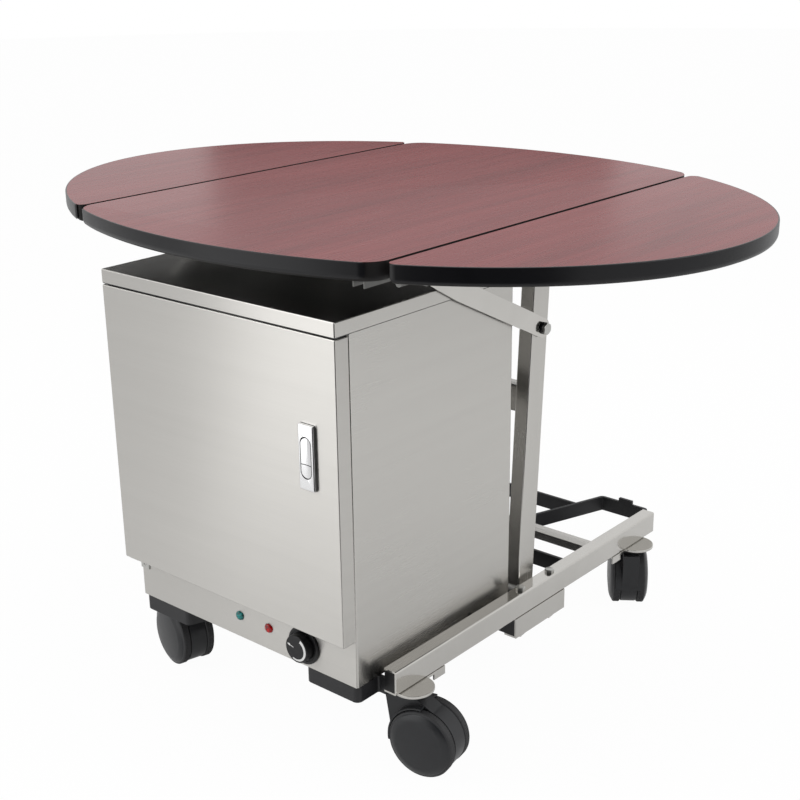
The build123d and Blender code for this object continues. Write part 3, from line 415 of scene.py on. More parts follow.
@kept
def knob_resin(f, tone):
    """Moulded black resin, satin."""
    grain = f.noise(1300.0, detail=2.0)
    cloud = f.noise(55.0, detail=3.0)
    pale = tinted(tone.knob, 1.6)
    return f.mottled(cloud, tone.knob, pale, 0.30, 0.12, IOR=1.36, Normal=f.bump(grain, 0.05, 0.0001))


@kept
def dial_print(f, tone):
    """White printed marks, slightly uneven."""
    ink = f.noise(700.0, detail=3.0)
    dull = tinted(tone.print_white, 0.86)
    return f.mottled(ink, dull, tone.print_white, 0.42, 0.1)


@kept
def lamp_lens(f, tone, which):
    """Clear coloured plastic; a noise darkens its colour in patches to a fifth, painted shade for the dark depths
    of the lens.
    """
    lens = getattr(tone, which)
    depth = f.noise(260.0, detail=1.0)
    depth_shade = tinted(lens, 0.20)
    # painted shade: patches of the lens colour darkened by the noise
    return f.surface(Base_Color=f.mix((depth - 0.5) * 3.0 + 0.5, depth_shade, lens),
                     Roughness=0.06 + 0.04 * depth, IOR=1.45)


@kept
def door_seal(f, tone):
    """Matt silicone."""
    bloom = f.noise(70.0, detail=4.0)
    pale = tinted(tone.seal, 1.6)
    return f.mottled(bloom, tone.seal, pale, 0.55, 0.2)


@kept
def heater_tube(f, _):
    """Heat-darkened sheath of the heating element."""
    scale = f.noise(150.0, detail=3.0)
    tint = f.ramp(scale, (0.30, (0.13, 0.12, 0.12)), (0.50, (0.22, 0.20, 0.18)), (0.70, (0.24, 0.20, 0.19)))
    return f.surface(Base_Color=tint, Metallic=1.0, Roughness=0.40 + 0.15 * scale)


@kept
def pressed_foam(f, tone):
    """Rigid foam with open cells."""
    cells = f.node("ShaderNodeTexVoronoi", inputs={"Vector": f.place(), "Scale": 600.0})
    dark = tinted(tone.foam, 0.7)
    return f.surface(Base_Color=f.mix(cells, dark, tone.foam), Roughness=0.9,
                     Normal=f.bump(cells, 0.3, 0.0004))


@kept
def inlet_brass(f, tone):
    """Plated blades."""
    wear = f.noise(300.0, detail=3.0)
    dull = tinted(tone.brass, 0.75)
    return f.mottled(wear, dull, tone.brass, 0.25, 0.15, Metallic=1.0)


def clear_selection():
    """Leave edit mode and select nothing."""
    if bpy.context.object and bpy.context.object.mode != "OBJECT":
        bpy.ops.object.mode_set(mode="OBJECT")
    bpy.ops.object.select_all(action="DESELECT")


def hold(obj):
    """Make one piece the only selected and active one."""
    clear_selection()
    obj.select_set(True)
    bpy.context.view_layer.objects.active = obj
    return obj


def edit(obj):
    """Open one piece in edit mode."""
    hold(obj)
    bpy.ops.object.mode_set(mode="EDIT")


def done():
    """Close edit mode."""
    bpy.ops.object.mode_set(mode="OBJECT")


def fresh(name, add, **options):
    """Add a primitive that is then shaped further."""
    clear_selection()
    add(**options)
    obj = bpy.context.object
    obj.name = name
    return obj


def take_all():
    """In edit mode, select the whole piece."""
    bpy.ops.mesh.select_all(action="SELECT")


def merge(gap):
    """Merge the points of the whole piece that lie closer than a gap."""
    take_all()
    bpy.ops.mesh.remove_doubles(threshold=gap)


def face_outwards():
    """Turn all faces of the piece outwards."""
    take_all()
    bpy.ops.mesh.normals_make_consistent(inside=False)


def pick(obj, kind, test):
    """In edit mode, select the vertices, edges or faces that pass a test."""
    bpy.ops.mesh.select_mode(type=kind)
    bpy.ops.mesh.select_all(action="DESELECT")
    mesh = bmesh.from_edit_mesh(obj.data)
    parts = {"VERT": mesh.verts, "EDGE": mesh.edges, "FACE": mesh.faces}[kind]
    count = 0
    for part in parts:
        if test(part):
            part.select_set(True)
            count += 1
    mesh.select_flush_mode()
    bmesh.update_edit_mesh(obj.data)
    if not count:
        raise RuntimeError(f"{obj.name}: nothing to select")


def run(edge, axis):
    """How far an edge runs along an axis."""
    first, second = edge.verts
    return abs(getattr(first.co, axis) - getattr(second.co, axis))


def lies_at(edge, axis, level):
    """Whether an edge lies at a level of an axis."""
    return all(abs(getattr(v.co, axis) - level) < NEAR for v in edge.verts)


def push(offset):
    """Extrude what is selected."""
    bpy.ops.mesh.extrude_region_move(TRANSFORM_OT_translate={"value": tuple(offset)})


def along(direction):
    """Matrix that turns Z to a direction."""
    return Vector(direction).to_track_quat("Z", "Y").to_matrix().to_4x4()


def settle(obj):
    """Put a piece's place into its mesh."""
    hold(obj)
    bpy.ops.object.transform_apply(location=True, rotation=True, scale=True)
    return obj


def block(name, low, high):
    """A box between two corners, to be shaped further."""
    low, high = Vector(low), Vector(high)
    obj = fresh(name, bpy.ops.mesh.primitive_cube_add, size=1.0, location=(low + high) / 2)
    obj.scale = high - low
    return settle(obj)


def panel(name, centre, width, height):
    """An upright plane that faces the back, to be shaped further."""
    obj = fresh(name, bpy.ops.mesh.primitive_plane_add, size=1.0)
    turn = Matrix.Rotation(math.pi, 4, "Z") @ Matrix.Rotation(math.radians(90), 4, "X")
    obj.matrix_world = Matrix.Translation(centre) @ turn @ Matrix.Diagonal((width, height, 1, 1))
    return settle(obj)


def point(name):
    """A single vertex at the origin, open in edit mode, to be drawn out."""
    obj = fresh(name, bpy.ops.mesh.primitive_plane_add, size=MM)
    bpy.ops.object.mode_set(mode="EDIT")
    bpy.ops.mesh.select_mode(type="VERT")
    take_all()
    bpy.ops.mesh.merge(type="CENTER")
    return obj


def turned(name, profile, place, axis, steps=64):
    """Turn a profile of (radius, rise) pairs in millimetres about an axis through a place."""
    obj = point(name)
    spots = [Vector((radius * MM, 0, rise * MM)) for radius, rise in profile]
    bpy.ops.transform.translate(value=spots[0])
    for last, spot in zip(spots, spots[1:]):
        push(spot - last)
    take_all()
    bpy.ops.mesh.spin(steps=steps, angle=2 * math.pi, center=(0, 0, 0), axis=(0, 0, 1))
    merge(1e-6)
    face_outwards()
    done()
    obj.matrix_world = Matrix.Translation(place) @ along(axis)
    return settle(obj)


def apply(obj, kind, **options):
    """Add a modifier and apply it."""
    hold(obj)
    made = obj.modifiers.new(kind.lower(), kind)
    for key, value in options.items():
        setattr(made, key, value)
    bpy.ops.object.modifier_apply(modifier=made.name)
    return obj


def soften(obj, radius, segments=3, angle=35):
    """Round every sharp edge of a piece."""
    return apply(obj, "BEVEL", width=radius, segments=segments, limit_method="ANGLE",
                 angle_limit=math.radians(angle), use_clamp_overlap=True)


def cut(obj, tool, operation="DIFFERENCE"):
    """Cut one piece by another, which is then thrown away."""
    apply(obj, "BOOLEAN", object=tool, operation=operation, solver="EXACT")
    bpy.data.objects.remove(tool)
    return obj


def bevel_picked(width, segments=3):
    """Round the selected edges."""
    bpy.ops.mesh.bevel(offset=width, segments=segments, profile=0.5, affect="EDGES", clamp_overlap=True)


def join(objects, name):
    """Join like pieces into one."""
    hold(objects[0])
    for obj in objects:
        obj.select_set(True)
    bpy.ops.object.join()
    whole = bpy.context.object
    whole.name = name
    return whole


def copied(obj, placing):
    """A copy of a piece with its own mesh, moved by a matrix."""
    twin = bpy.data.objects.new(obj.name, obj.data.copy())
    bpy.context.scene.collection.objects.link(twin)
    twin.matrix_world = placing
    return settle(twin)


def fit(obj, body, material, nodes=(), angle=35):
    """Shade a finished piece, give it its finish, and let it ride on a body."""
    hold(obj)
    bpy.ops.object.shade_smooth_by_angle(angle=math.radians(angle))
    apply(obj, "WEIGHTED_NORMAL", keep_sharp=True)
    if not obj.data.materials:
        obj.data.materials.append(material)
    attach(obj, body)
    if nodes:
        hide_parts(*nodes)
    return obj


def two_tone(obj, main, other, test):
    """Give a piece two finishes, the second on the faces that pass a test."""
    for finish in (main, other):
        obj.data.materials.append(finish)
    edit(obj)
    pick(obj, "FACE", test)
    obj.active_material_index = 1
    bpy.ops.object.material_slot_assign()
    done()


def coat(material, *nodes):
    """Give solids that keep their shape a finish."""
    for name in nodes:
        node = NODES[name]
        node.data.materials.clear()
        node.data.materials.append(material)


def solid_copy(node, name):
    """A bare copy of a solid with its points merged, open in edit mode and selected all over."""
    obj = bpy.data.objects.new(name, NODES[node].data.copy())
    bpy.context.scene.collection.objects.link(obj)
    obj.data.materials.clear()
    edit(obj)
    merge(2e-6)
    take_all()
    return obj


def formed(node, radius, material, segments=2):
    """A copy of a solid with its cut edges rounded."""
    obj = solid_copy(node, node + "_formed")
    bpy.ops.mesh.dissolve_limited(angle_limit=math.radians(0.4))
    done()
    hold(obj)
    bpy.ops.mesh.customdata_custom_splitnormals_clear()
    soften(obj, radius, segments)
    return fit(obj, BODY[node], material, (node,))


# what bounds each board: 1 is a seam, 2 an end of the table, and minus is left
SPANS = {"centre": (-1, 1), "leaf_left": (-2, -1), "leaf_right": (1, 2)}


def table_plan(name, inset, span, corner, ease):
    """Flat part of the table's oval between two seams, with its corners rounded as seen from above."""
    sizes = bpy.context.scene.table_sizes
    left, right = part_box("leaf_left_edging")[0].x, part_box("leaf_right_edging")[1].x
    front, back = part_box("centre_edging")[0].y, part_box("centre_edging")[1].y
    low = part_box("centre_board")[0]
    inner, outer = abs(low.x) - ease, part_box("leaf_right_board")[0].x + ease
    lines = {-2: left - 1, -1: -inner if span[0] == -1 else -outer,
             1: inner if span[1] == 1 else outer, 2: right + 1}
    x0, x1 = lines[span[0]], lines[span[1]]
    obj = fresh(name, bpy.ops.mesh.primitive_circle_add, vertices=sizes.oval_points, radius=1.0,
                fill_type="NGON", location=(0, 0, low.z))
    obj.scale = ((right - left) / 2 - inset, (back - front) / 2 - inset, 1)
    settle(obj)
    edit(obj)
    for level, way in ((x0, -X), (x1, X)):
        if left < level < right:
            take_all()
            bpy.ops.mesh.bisect(plane_co=level * X, plane_no=way, clear_outer=True)
    ends = [level for level in (x0, x1) if left < level < right]
    if corner:
        near = 1.6 * corner
        pick(obj, "VERT", lambda v: any(1e-6 < abs(v.co.x - level) < near for level in ends))
        bpy.ops.mesh.dissolve_verts()
        pick(obj, "VERT", lambda v: any(abs(v.co.x - level) < 1e-6 for level in ends))
        bpy.ops.mesh.bevel(offset=corner, segments=8, affect="VERTICES", clamp_overlap=False)
    done()
    return obj, ends


def raised(obj, height):
    """Draw a flat plan up to a plate."""
    edit(obj)
    pick(obj, "FACE", lambda f: True)
    push((0, 0, height))
    face_outwards()
    done()
    return obj


class TABLE_OT_boards(bpy.types.Operator):
    """Laminated centre board and leaves, with eased edges at the seams"""
    bl_idname = "service_table.boards"
    bl_label = "Boards"

    def execute(self, context):
        sizes = context.scene.table_sizes
        low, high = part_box("centre_board")
        finish = laminate(f"{high.z - 0.06 * MM:.5f}")
        for name, span in SPANS.items():
            corner = sizes.centre_corner if name == "centre" else sizes.leaf_corner
            board, ends = table_plan(name + "_board_laminated", sizes.edging_lip, span, corner,
                                     sizes.seam_ease)
            raised(board, high.z - low.z)
            edit(board)
            pick(board, "EDGE", lambda e: lies_at(e, "z", high.z)
                 and any(lies_at(e, "x", end) for end in ends))
            bevel_picked(sizes.seam_edge, 2)
            pick(board, "EDGE", lambda e: lies_at(e, "z", low.z)
                 and not any(lies_at(e, "x", end) for end in ends))
            bevel_picked(sizes.edging_foot - sizes.edging_lip, 5)
            done()
            node = name + "_board"
            fit(board, BODY[node], finish, (node,))
        return {"FINISHED"}


class TABLE_OT_edging(bpy.types.Operator):
    """Black moulding round the boards, rounded off where it ends at a seam"""
    bl_idname = "service_table.edging"
    bl_label = "Edging"

    def execute(self, context):
        sizes = context.scene.table_sizes
        low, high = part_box("centre_board")
        thick = high.z - low.z
        for name, span in SPANS.items():
            corner = sizes.centre_corner if name == "centre" else sizes.leaf_corner
            band, ends = table_plan(name + "_edging_moulded", 0, span, corner, sizes.seam_ease)
            raised(band, thick)
            edit(band)
            for level, width in ((high.z, sizes.edging_top), (low.z, sizes.edging_foot)):
                pick(band, "EDGE", lambda e: lies_at(e, "z", level)
                     and not any(lies_at(e, "x", end) for end in ends))
                bevel_picked(width, 5)
            done()
            core, _ = table_plan("core", sizes.edging_lip, (-2, 2), 0, 0)
            core.location.z = -MM
            settle(core)
            cut(band, raised(core, thick + 2 * MM))
            node = name + "_edging"
            fit(band, BODY[node], edge_vinyl(), (node,))
        return {"FINISHED"}


class TABLE_OT_folding_gear(bpy.types.Operator):
    """Struts, channels and hinges under the table"""
    bl_idname = "service_table.folding_gear"
    bl_label = "Folding gear"

    def execute(self, context):
        sizes = context.scene.table_sizes
        for node in ("strut_left", "strut_right"):
            formed(node, sizes.plate_edge, plain_steel())
        formed("table_channels", sizes.plate_edge, dull_zinc())
        coat(dull_zinc(), "tilt_hinge_bases", "tilt_hinge_leaves", "leaf_hinge_bases",
             "leaf_left_hinges", "leaf_right_hinges")
        strut = JOINT["strut_right"]["pos_m"]
        outside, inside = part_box("strut_washers")[1].x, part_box("post_right")[1].x
        rings = []
        for thick, face in ((3.0, outside - 3.0 * MM), (1.5, inside)):
            ring = turned("washer", [(5.2, 0), (8.6, 0), (9.0, 0.4), (9.0, thick - 0.4), (8.6, thick),
                                     (5.2, thick), (5.2, 0)], (0, 0, 0), Z, 40)
            for side in (-1, 1):
                at = Matrix.Translation((side * face, strut[1], strut[2]))
                rings.append(copied(ring, at @ along(side * X)))
            bpy.data.objects.remove(ring)
        fit(join(rings, "strut_washers_turned"), BODY["strut_washers"], edge_vinyl(),
            ("strut_washers",))
        return {"FINISHED"}


class TABLE_OT_posts(bpy.types.Operator):
    """Leaning posts and the bar between them, in rounded tube"""
    bl_idname = "service_table.posts"
    bl_label = "Posts"

    def execute(self, context):
        sizes = context.scene.table_sizes
        for node in ("post_left", "post_right"):
            low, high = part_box(node)
            obj = block(node + "_tube", low, (high.x, low.y + POST_DEPTH, high.z))
            edit(obj)
            pick(obj, "EDGE", lambda e: run(e, "z") > POST_DEPTH)
            bevel_picked(sizes.post_corner, 4)
            pick(obj, "VERT", lambda v: v.co.z > high.z - MM)
            bpy.ops.transform.translate(value=(0, high.y - low.y - POST_DEPTH, 0))
            done()
            fit(obj, "base", brushed_steel("z"), (node,))
        low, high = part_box("post_crossbar")
        bar = block("post_crossbar_tube", low, high)
        edit(bar)
        pick(bar, "EDGE", lambda e: run(e, "x") > POST_DEPTH)
        bevel_picked(sizes.post_corner, 4)
        done()
        fit(bar, "base", brushed_steel("x"), ("post_crossbar",))
        return {"FINISHED"}


class TABLE_OT_rails(bpy.types.Operator):
    """Rails, cross beam, brackets, rear bar and caster straps"""
    bl_idname = "service_table.rails"
    bl_label = "Rails"

    def execute(self, context):
        sizes = context.scene.table_sizes
        for node in ("rail_left", "rail_right"):
            formed(node, 0.5 * sizes.plate_edge, plain_steel())
        self.plugs(3.0 * MM)
        formed("rear_crossbar", sizes.plate_edge, brushed_steel("x"))
        formed("beam_brackets", sizes.plate_edge, plain_steel())
        formed("caster_straps", sizes.plate_edge, plain_steel())
        formed("post_crossbeam", sizes.bar_edge, black_enamel())
        return {"FINISHED"}

    def plugs(self, wall):
        """Black plugs in the front ends of the rails."""
        low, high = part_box("rail_right")
        plugs = []
        for side in (-1, 1):
            inner, web = side * (low.x + 0.2 * MM), side * (high.x - wall)
            plug = block("plug", (min(inner, web), low.y + 0.3 * MM, low.z + wall),
                         (max(inner, web), low.y + 11 * MM, high.z - wall))
            plugs.append(soften(plug, 0.8 * MM))
        fit(join(plugs, "rail_plugs"), "base", knob_resin())


class TABLE_OT_bars(bpy.types.Operator):
    """Black bars that carry the cabinet"""
    bl_idname = "service_table.bars"
    bl_label = "Bars"

    def execute(self, context):
        sizes = context.scene.table_sizes
        for node in ("front_bearers", "rear_bearers", "tie_bars"):
            formed(node, sizes.bar_edge, black_enamel())
        return {"FINISHED"}


class TABLE_OT_cabinet(bpy.types.Operator):
    """Folded shell, cap, plinth and floor of the cabinet"""
    bl_idname = "service_table.cabinet"
    bl_label = "Cabinet"

    def execute(self, context):
        sizes = context.scene.table_sizes
        self.shell(sizes.sheet_bend)
        self.cap(sizes.cap_bend)
        coat(brushed_steel("level", "soft"), "plinth_panel", "cabinet_floor")
        coat(pressed_foam(), "cabinet_insulation")
        return {"FINISHED"}

    def shell(self, bend):
        """Sides and back in one wrap, turned in at the front to a frame round the opening."""
        low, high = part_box("cabinet_shell")
        sizes = bpy.context.scene.table_sizes
        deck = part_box("plinth_panel")[1].z
        inner_low, inner_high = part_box("cavity_liner")
        left, right = inner_low.x + SHEET, inner_high.x - SHEET
        sill, head = inner_low.z + SHEET, inner_high.z - SHEET
        wrap = block("cabinet_shell_formed", low, (high.x, high.y, high.z - sizes.cap_seal))
        edit(wrap)
        pick(wrap, "EDGE", lambda e: run(e, "z") > 100 * MM)
        bevel_picked(2 * bend, 5)
        pick(wrap, "FACE", lambda f: abs(f.normal.z) > 0.9)
        bpy.ops.mesh.delete(type="FACE")
        for normal, level in ((X, left), (X, right), (Z, sill), (Z, head), (Z, deck)):
            pick(wrap, "FACE", lambda f: f.normal.y < -0.9)
            bpy.ops.mesh.bisect(plane_co=normal * level, plane_no=normal)
        pick(wrap, "FACE", lambda f: f.normal.y < -0.9 and left < f.calc_center_median().x < right
             and sill < f.calc_center_median().z < head)
        bpy.ops.mesh.delete(type="FACE")
        pick(wrap, "FACE", lambda f: f.normal.y < -0.9 and f.calc_center_median().z < deck)
        bpy.ops.mesh.delete(type="FACE")
        done()
        apply(wrap, "SOLIDIFY", thickness=SHEET, offset=-1.0)
        fit(wrap, "base", brushed_steel("level"), ("cabinet_shell",))
        # Black strip in the gap under the cap, with a lip along the front between cap and door: painted shadow,
        # dark pieces standing in for the shade in these gaps
        seal = block("cabinet_cap_seal", (low.x + SHEET, low.y + SHEET, high.z - sizes.cap_seal - SHEET),
                     (high.x - SHEET, high.y - SHEET, high.z))
        edit(seal)
        pick(seal, "FACE", lambda f: abs(f.normal.z) > 0.9)
        bpy.ops.mesh.delete(type="FACE")
        done()
        apply(seal, "SOLIDIFY", thickness=SHEET, offset=1.0)
        cap_low, cap_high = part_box("cabinet_cap")
        lip = block("lip", (cap_low.x + 0.6 * MM, cap_low.y + SHEET, cap_low.z - 1.6 * MM),
                    (cap_high.x - 0.6 * MM, low.y + SHEET, cap_low.z + 0.2 * MM))
        fit(join([seal, soften(lip, 0.4 * MM)], "cabinet_cap_seal"), "base", door_seal())

    def cap(self, bend):
        """Shallow pan over the cabinet."""
        low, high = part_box("cabinet_cap")
        cap = block("cabinet_cap_formed", low, high)
        edit(cap)
        pick(cap, "EDGE", lambda e: not all(v.co.z < low.z + MM for v in e.verts))
        bevel_picked(bend, 4)
        pick(cap, "FACE", lambda f: f.normal.z < -0.9)
        bpy.ops.mesh.inset(thickness=3 * MM)
        push((0, 0, 0.6 * MM))
        done()
        fit(cap, "base", brushed_steel("level"), ("cabinet_cap",))


class TABLE_OT_cavity(bpy.types.Operator):
    """Liner, runners, wire shelves and heating element"""
    bl_idname = "service_table.cavity"
    bl_label = "Cavity"

    def execute(self, context):
        coat(brushed_steel("y"), "cavity_liner")
        coat(plain_steel(), "shelf_runners")
        coat(chrome_plate(), "wire_shelves")
        coat(heater_tube(), "heating_element")
        coat(knob_resin(), "thermostat_body")
        return {"FINISHED"}


class TABLE_OT_door(bpy.types.Operator):
    """Door pan, inner sheet, gasket and pivots"""
    bl_idname = "service_table.door"
    bl_label = "Door"

    def execute(self, context):
        sizes = context.scene.table_sizes
        low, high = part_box("door_skin")
        pan = block("door_skin_formed", low, (high.x, high.y - sizes.door_ease, high.z))
        edit(pan)
        pick(pan, "EDGE", lambda e: not all(v.co.y > high.y - 2 * MM for v in e.verts))
        bevel_picked(sizes.sheet_bend, 4)
        pick(pan, "FACE", lambda f: f.normal.y > 0.9)
        bpy.ops.mesh.inset(thickness=SHEET)
        push((0, -3 * MM, 0))
        done()
        fit(pan, "door", brushed_steel("level", "soft"), ("door_skin",))
        low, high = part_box("door_gasket")
        skin_low, skin_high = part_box("door_skin")
        reach = 2 * sizes.gasket_margin
        seal = panel("door_gasket_formed", (0, low.y, (skin_low.z + skin_high.z) / 2),
                     skin_high.x - skin_low.x - reach, skin_high.z - skin_low.z - reach)
        ring = sizes.gasket_width
        edit(seal)
        take_all()
        bpy.ops.mesh.inset(thickness=ring)
        bpy.ops.mesh.delete(type="FACE")
        take_all()
        push((0, high.y - low.y, 0))
        pick(seal, "EDGE", lambda e: lies_at(e, "y", high.y)
             and len({f.normal.y > 0.5 for f in e.link_faces}) == 2)
        bevel_picked(0.9 * (high.y - low.y), 4)
        done()
        fit(seal, "door", door_seal(), ("door_gasket",))
        coat(brushed_steel("x"), "door_liner")
        coat(pressed_foam(), "door_core")
        coat(zinc_plate(), "door_pivots")
        return {"FINISHED"}


class TABLE_OT_latch(bpy.types.Operator):
    """Latch: face plate with its oval well, paddle, push button, body and tongue"""
    bl_idname = "service_table.latch"
    bl_label = "Latch"

    def execute(self, context):
        sizes = context.scene.table_sizes
        low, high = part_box("latch_housing")
        self.centre = Vector(((low.x + high.x) / 2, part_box("door_skin")[0].y, (low.z + high.z) / 2))
        self.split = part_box("latch_button")[1].z
        self.face = self.centre.y - sizes.plate_rise
        self.housing(sizes)
        self.grip("latch_paddle", sizes, (self.split + sizes.grip_gap, 1.0))
        self.grip("latch_button", sizes, (0.0, self.split))
        formed("latch_tongue", 0.4 * MM, zinc_plate())
        return {"FINISHED"}

    def oval(self, name, width, height, front, back, drop=0.0):
        """Upright bar with round ends, its top let down by a drop."""
        half = Vector((width / 2, 0, height / 2))
        bar = block(name, (self.centre.x - half.x, front, self.centre.z - half.z),
                    (self.centre.x + half.x, back, self.centre.z + half.z - drop))
        edit(bar)
        pick(bar, "EDGE", lambda e: run(e, "y") > MM)
        bevel_picked(0.499 * width, 12)
        merge(1e-5)
        done()
        return bar

    def housing(self, sizes):
        """Bevelled face plate on a thin dark rim, painted shadow for the contact shade round it, with the latch
        body behind it.
        """
        half = Vector((sizes.plate_width / 2, 0, sizes.plate_height / 2))
        middle = Vector((self.centre.x, 0, self.centre.z))
        plate = block("latch_housing_plate", middle - half + self.face * Y,
                      middle + half + (self.centre.y + 0.2 * MM) * Y)
        edit(plate)
        pick(plate, "EDGE", lambda e: run(e, "y") > MM)
        bevel_picked(2.5 * MM, 5)
        pick(plate, "EDGE", lambda e: lies_at(e, "y", self.face))
        bevel_picked(2.4 * MM, 5)
        done()
        floor = self.centre.y - 0.3 * MM
        cut(plate, self.oval("well", sizes.well_width, sizes.well_height, self.face - MM, floor))
        inside = 0.52 * Vector((sizes.well_width, 0, sizes.well_height))
        # The walls and floor of the well take black resin: painted shade in the recess
        two_tone(plate, chrome_plate(), knob_resin(), lambda f: all(
            abs(v.co.x - self.centre.x) < inside.x and v.co.y < self.centre.y
            and abs(v.co.z - self.centre.z) < inside.z for v in f.verts))
        body = solid_copy("latch_housing", "latch_body")
        bpy.ops.mesh.bisect(plane_co=(self.centre.y + 0.5 * MM) * Y, plane_no=Y, use_fill=True,
                            clear_inner=True)
        done()
        housing = join([plate, body], "latch_housing_formed")
        fit(housing, "door", chrome_plate(), ("latch_housing",))
        # A thin dark plate a little larger than the face plate shows as a rim round it: painted shadow where the
        # plate meets the door
        rim = Vector((0.6 * MM, 0, 0.45 * MM))
        shade_rim = block("latch_gasket", middle - half - rim + (self.centre.y - 0.25 * MM) * Y,
                     middle + half + rim + (self.centre.y + 0.1 * MM) * Y)
        edit(shade_rim)
        pick(shade_rim, "EDGE", lambda e: run(e, "y") > 0.2 * MM)
        bevel_picked(3.2 * MM, 5)
        done()
        fit(shade_rim, "door", door_seal())

    def grip(self, node, sizes, heights):
        """One part of the oval, hollowed a little from side to side. Its side walls are black: painted shadow for
        the dark gap round it.
        """
        gap = 2 * sizes.grip_gap
        front = self.face + 0.1 * MM
        thick = 1.8 * MM
        drop = sizes.grip_gap if node == "latch_paddle" else 0.0
        grip = self.oval(node + "_formed", sizes.well_width - gap, sizes.well_height - gap, front,
                         front + thick, drop)
        edit(grip)
        for level, way in ((heights[0], -Z), (heights[1], Z)):
            take_all()
            bpy.ops.mesh.bisect(plane_co=level * Z, plane_no=way, use_fill=True, clear_outer=True)
        done()
        hollow, depth = 34 * MM, 1.25 * MM
        roller = fresh("roller", bpy.ops.mesh.primitive_cylinder_add, vertices=192, radius=hollow,
                       depth=0.2, location=(self.centre.x, front + depth - hollow, self.centre.z))
        cut(grip, roller)
        # Side walls in black resin: painted shadow for the gap round paddle and button
        two_tone(grip, chrome_plate(), knob_resin(), lambda f: f.normal.y > -0.6)
        fit(grip, node, chrome_plate(), (node,), angle=40)


class TABLE_OT_controls(bpy.types.Operator):
    """Knob with its marks, ring and two lamps"""
    bl_idname = "service_table.controls"
    bl_label = "Controls"

    def execute(self, context):
        sizes = context.scene.table_sizes
        self.knob(sizes)
        for node, tone, slot in (("lamp_green", "green", "green_lens"), ("lamp_red", "red", "red_lens")):
            self.lamp(node, tone, slot)
        return {"FINISHED"}

    def knob(self, sizes):
        """Drafted knob on its ring, with a tapering arc and a pointer."""
        low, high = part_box("thermostat_knob")
        ring_low, ring_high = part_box("dial_bezel")
        centre = Vector(((low.x + high.x) / 2, ring_low.y, (low.z + high.z) / 2))
        radius, depth, edge = (size / MM for size in (sizes.knob_radius, sizes.knob_depth, sizes.knob_edge))
        gap = 0.5
        foot = radius - 0.6
        shoulder = radius - 0.5
        round_points = [(shoulder - edge + edge * math.cos(a), depth - edge + edge * math.sin(a))
                        for a in (k * math.pi / 10 for k in range(6))]
        profile = [(0, gap), (foot, gap), (radius, gap + 0.6), *round_points, (0, depth)]
        knob = turned("thermostat_knob_turned", profile, centre, -Y, 72)
        fit(knob, "thermostat_knob", knob_resin(), ("thermostat_knob",))
        ring_radius = (ring_high.x - ring_low.x) / 2 / MM
        thick = (ring_high.y - ring_low.y) / MM
        base = Vector((centre.x, ring_high.y, centre.z))
        ring = turned("dial_bezel_turned", [
            (0, 0), (ring_radius, 0), (ring_radius, thick - 1.6), (ring_radius - 0.5, thick - 0.6),
            (ring_radius - 1.4, thick), (radius + 2.6, thick), (radius + 1.8, thick - 0.6),
            (0, thick - 0.6)], base, -Y, 72)
        fit(ring, "base", knob_resin(), ("dial_bezel",))
        face = centre - depth * MM * Y
        arc = self.arc(face, 0.77 * radius * MM, 5.0 * MM, 28, 205)
        marks = join([arc, self.pointer(face, radius * MM)], "dial_marks")
        fit(marks, "thermostat_knob", dial_print())

    def arc(self, centre, radius, width, start, stop):
        """Band that narrows from one end to the other, angles clockwise from the top."""
        obj = point("dial_arc")
        steps = 40
        bpy.ops.transform.translate(value=(0, 0, radius + width / 2))
        push((0, 0, -width))
        take_all()
        bpy.ops.mesh.spin(steps=steps, angle=math.radians(stop - start), center=(0, 0, 0), axis=(0, -1, 0))
        mesh = bmesh.from_edit_mesh(obj.data)
        for v in mesh.verts:
            turn = math.atan2(v.co.x, v.co.z) % (2 * math.pi)
            share = turn / math.radians(stop - start)
            far = math.hypot(v.co.x, v.co.z)
            thin = radius + (far - radius) * (1 - 0.6 * min(share, 1.0))
            v.co *= thin / far
        bmesh.update_edit_mesh(obj.data)
        take_all()
        push((0, -0.15 * MM, 0))
        face_outwards()
        done()
        obj.matrix_world = Matrix.Translation(centre) @ Matrix.Rotation(math.radians(start), 4, "Y")
        return settle(obj)

    def pointer(self, centre, radius):
        """Slim pointer with a broad tip."""
        obj = block("dial_pointer", (-0.5 * MM, -0.15 * MM, 0.25 * radius), (0.5 * MM, 0, 0.58 * radius))
        edit(obj)
        pick(obj, "FACE", lambda f: f.normal.z > 0.9)
        push((0, 0, 0.02 * radius))
        bpy.ops.transform.resize(value=(3.6, 1, 1))
        push((0, 0, 0.20 * radius))
        bpy.ops.transform.resize(value=(0.35, 1, 1))
        done()
        obj.matrix_world = Matrix.Translation(centre) @ Matrix.Rotation(math.radians(-73), 4, "Y")
        return settle(obj)

    def lamp(self, node, tone, slot):
        """Faceted lens on a thin rim."""
        low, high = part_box(node)
        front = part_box("plinth_panel")[0].y
        centre = Vector(((low.x + high.x) / 2, front, (low.z + high.z) / 2))
        radius = (high.x - low.x) / 2 / MM
        rise = (front - low.y) / MM
        facets, barrel, belt = 8, 5.6, 0.82 * radius
        lens = turned(node + "_turned", [
            (0, -20), (barrel, -20), (barrel, 0), (radius, 0), (radius, 0.22 * rise),
            (belt, 0.60 * rise), (0.24 * radius, rise), (0, rise)], centre, -Y, facets)
        edit(lens)
        pick(lens, "VERT", lambda v: abs(math.hypot(*(v.co - centre).xz) - belt * MM) < 0.02 * MM)
        bpy.ops.transform.rotate(value=math.pi / facets, orient_axis="Y", center_override=centre)
        take_all()
        bpy.ops.mesh.quads_convert_to_tris(quad_method="SHORTEST_DIAGONAL")
        done()
        fit(lens, "base", lamp_lens(tone), (node,), angle=8)


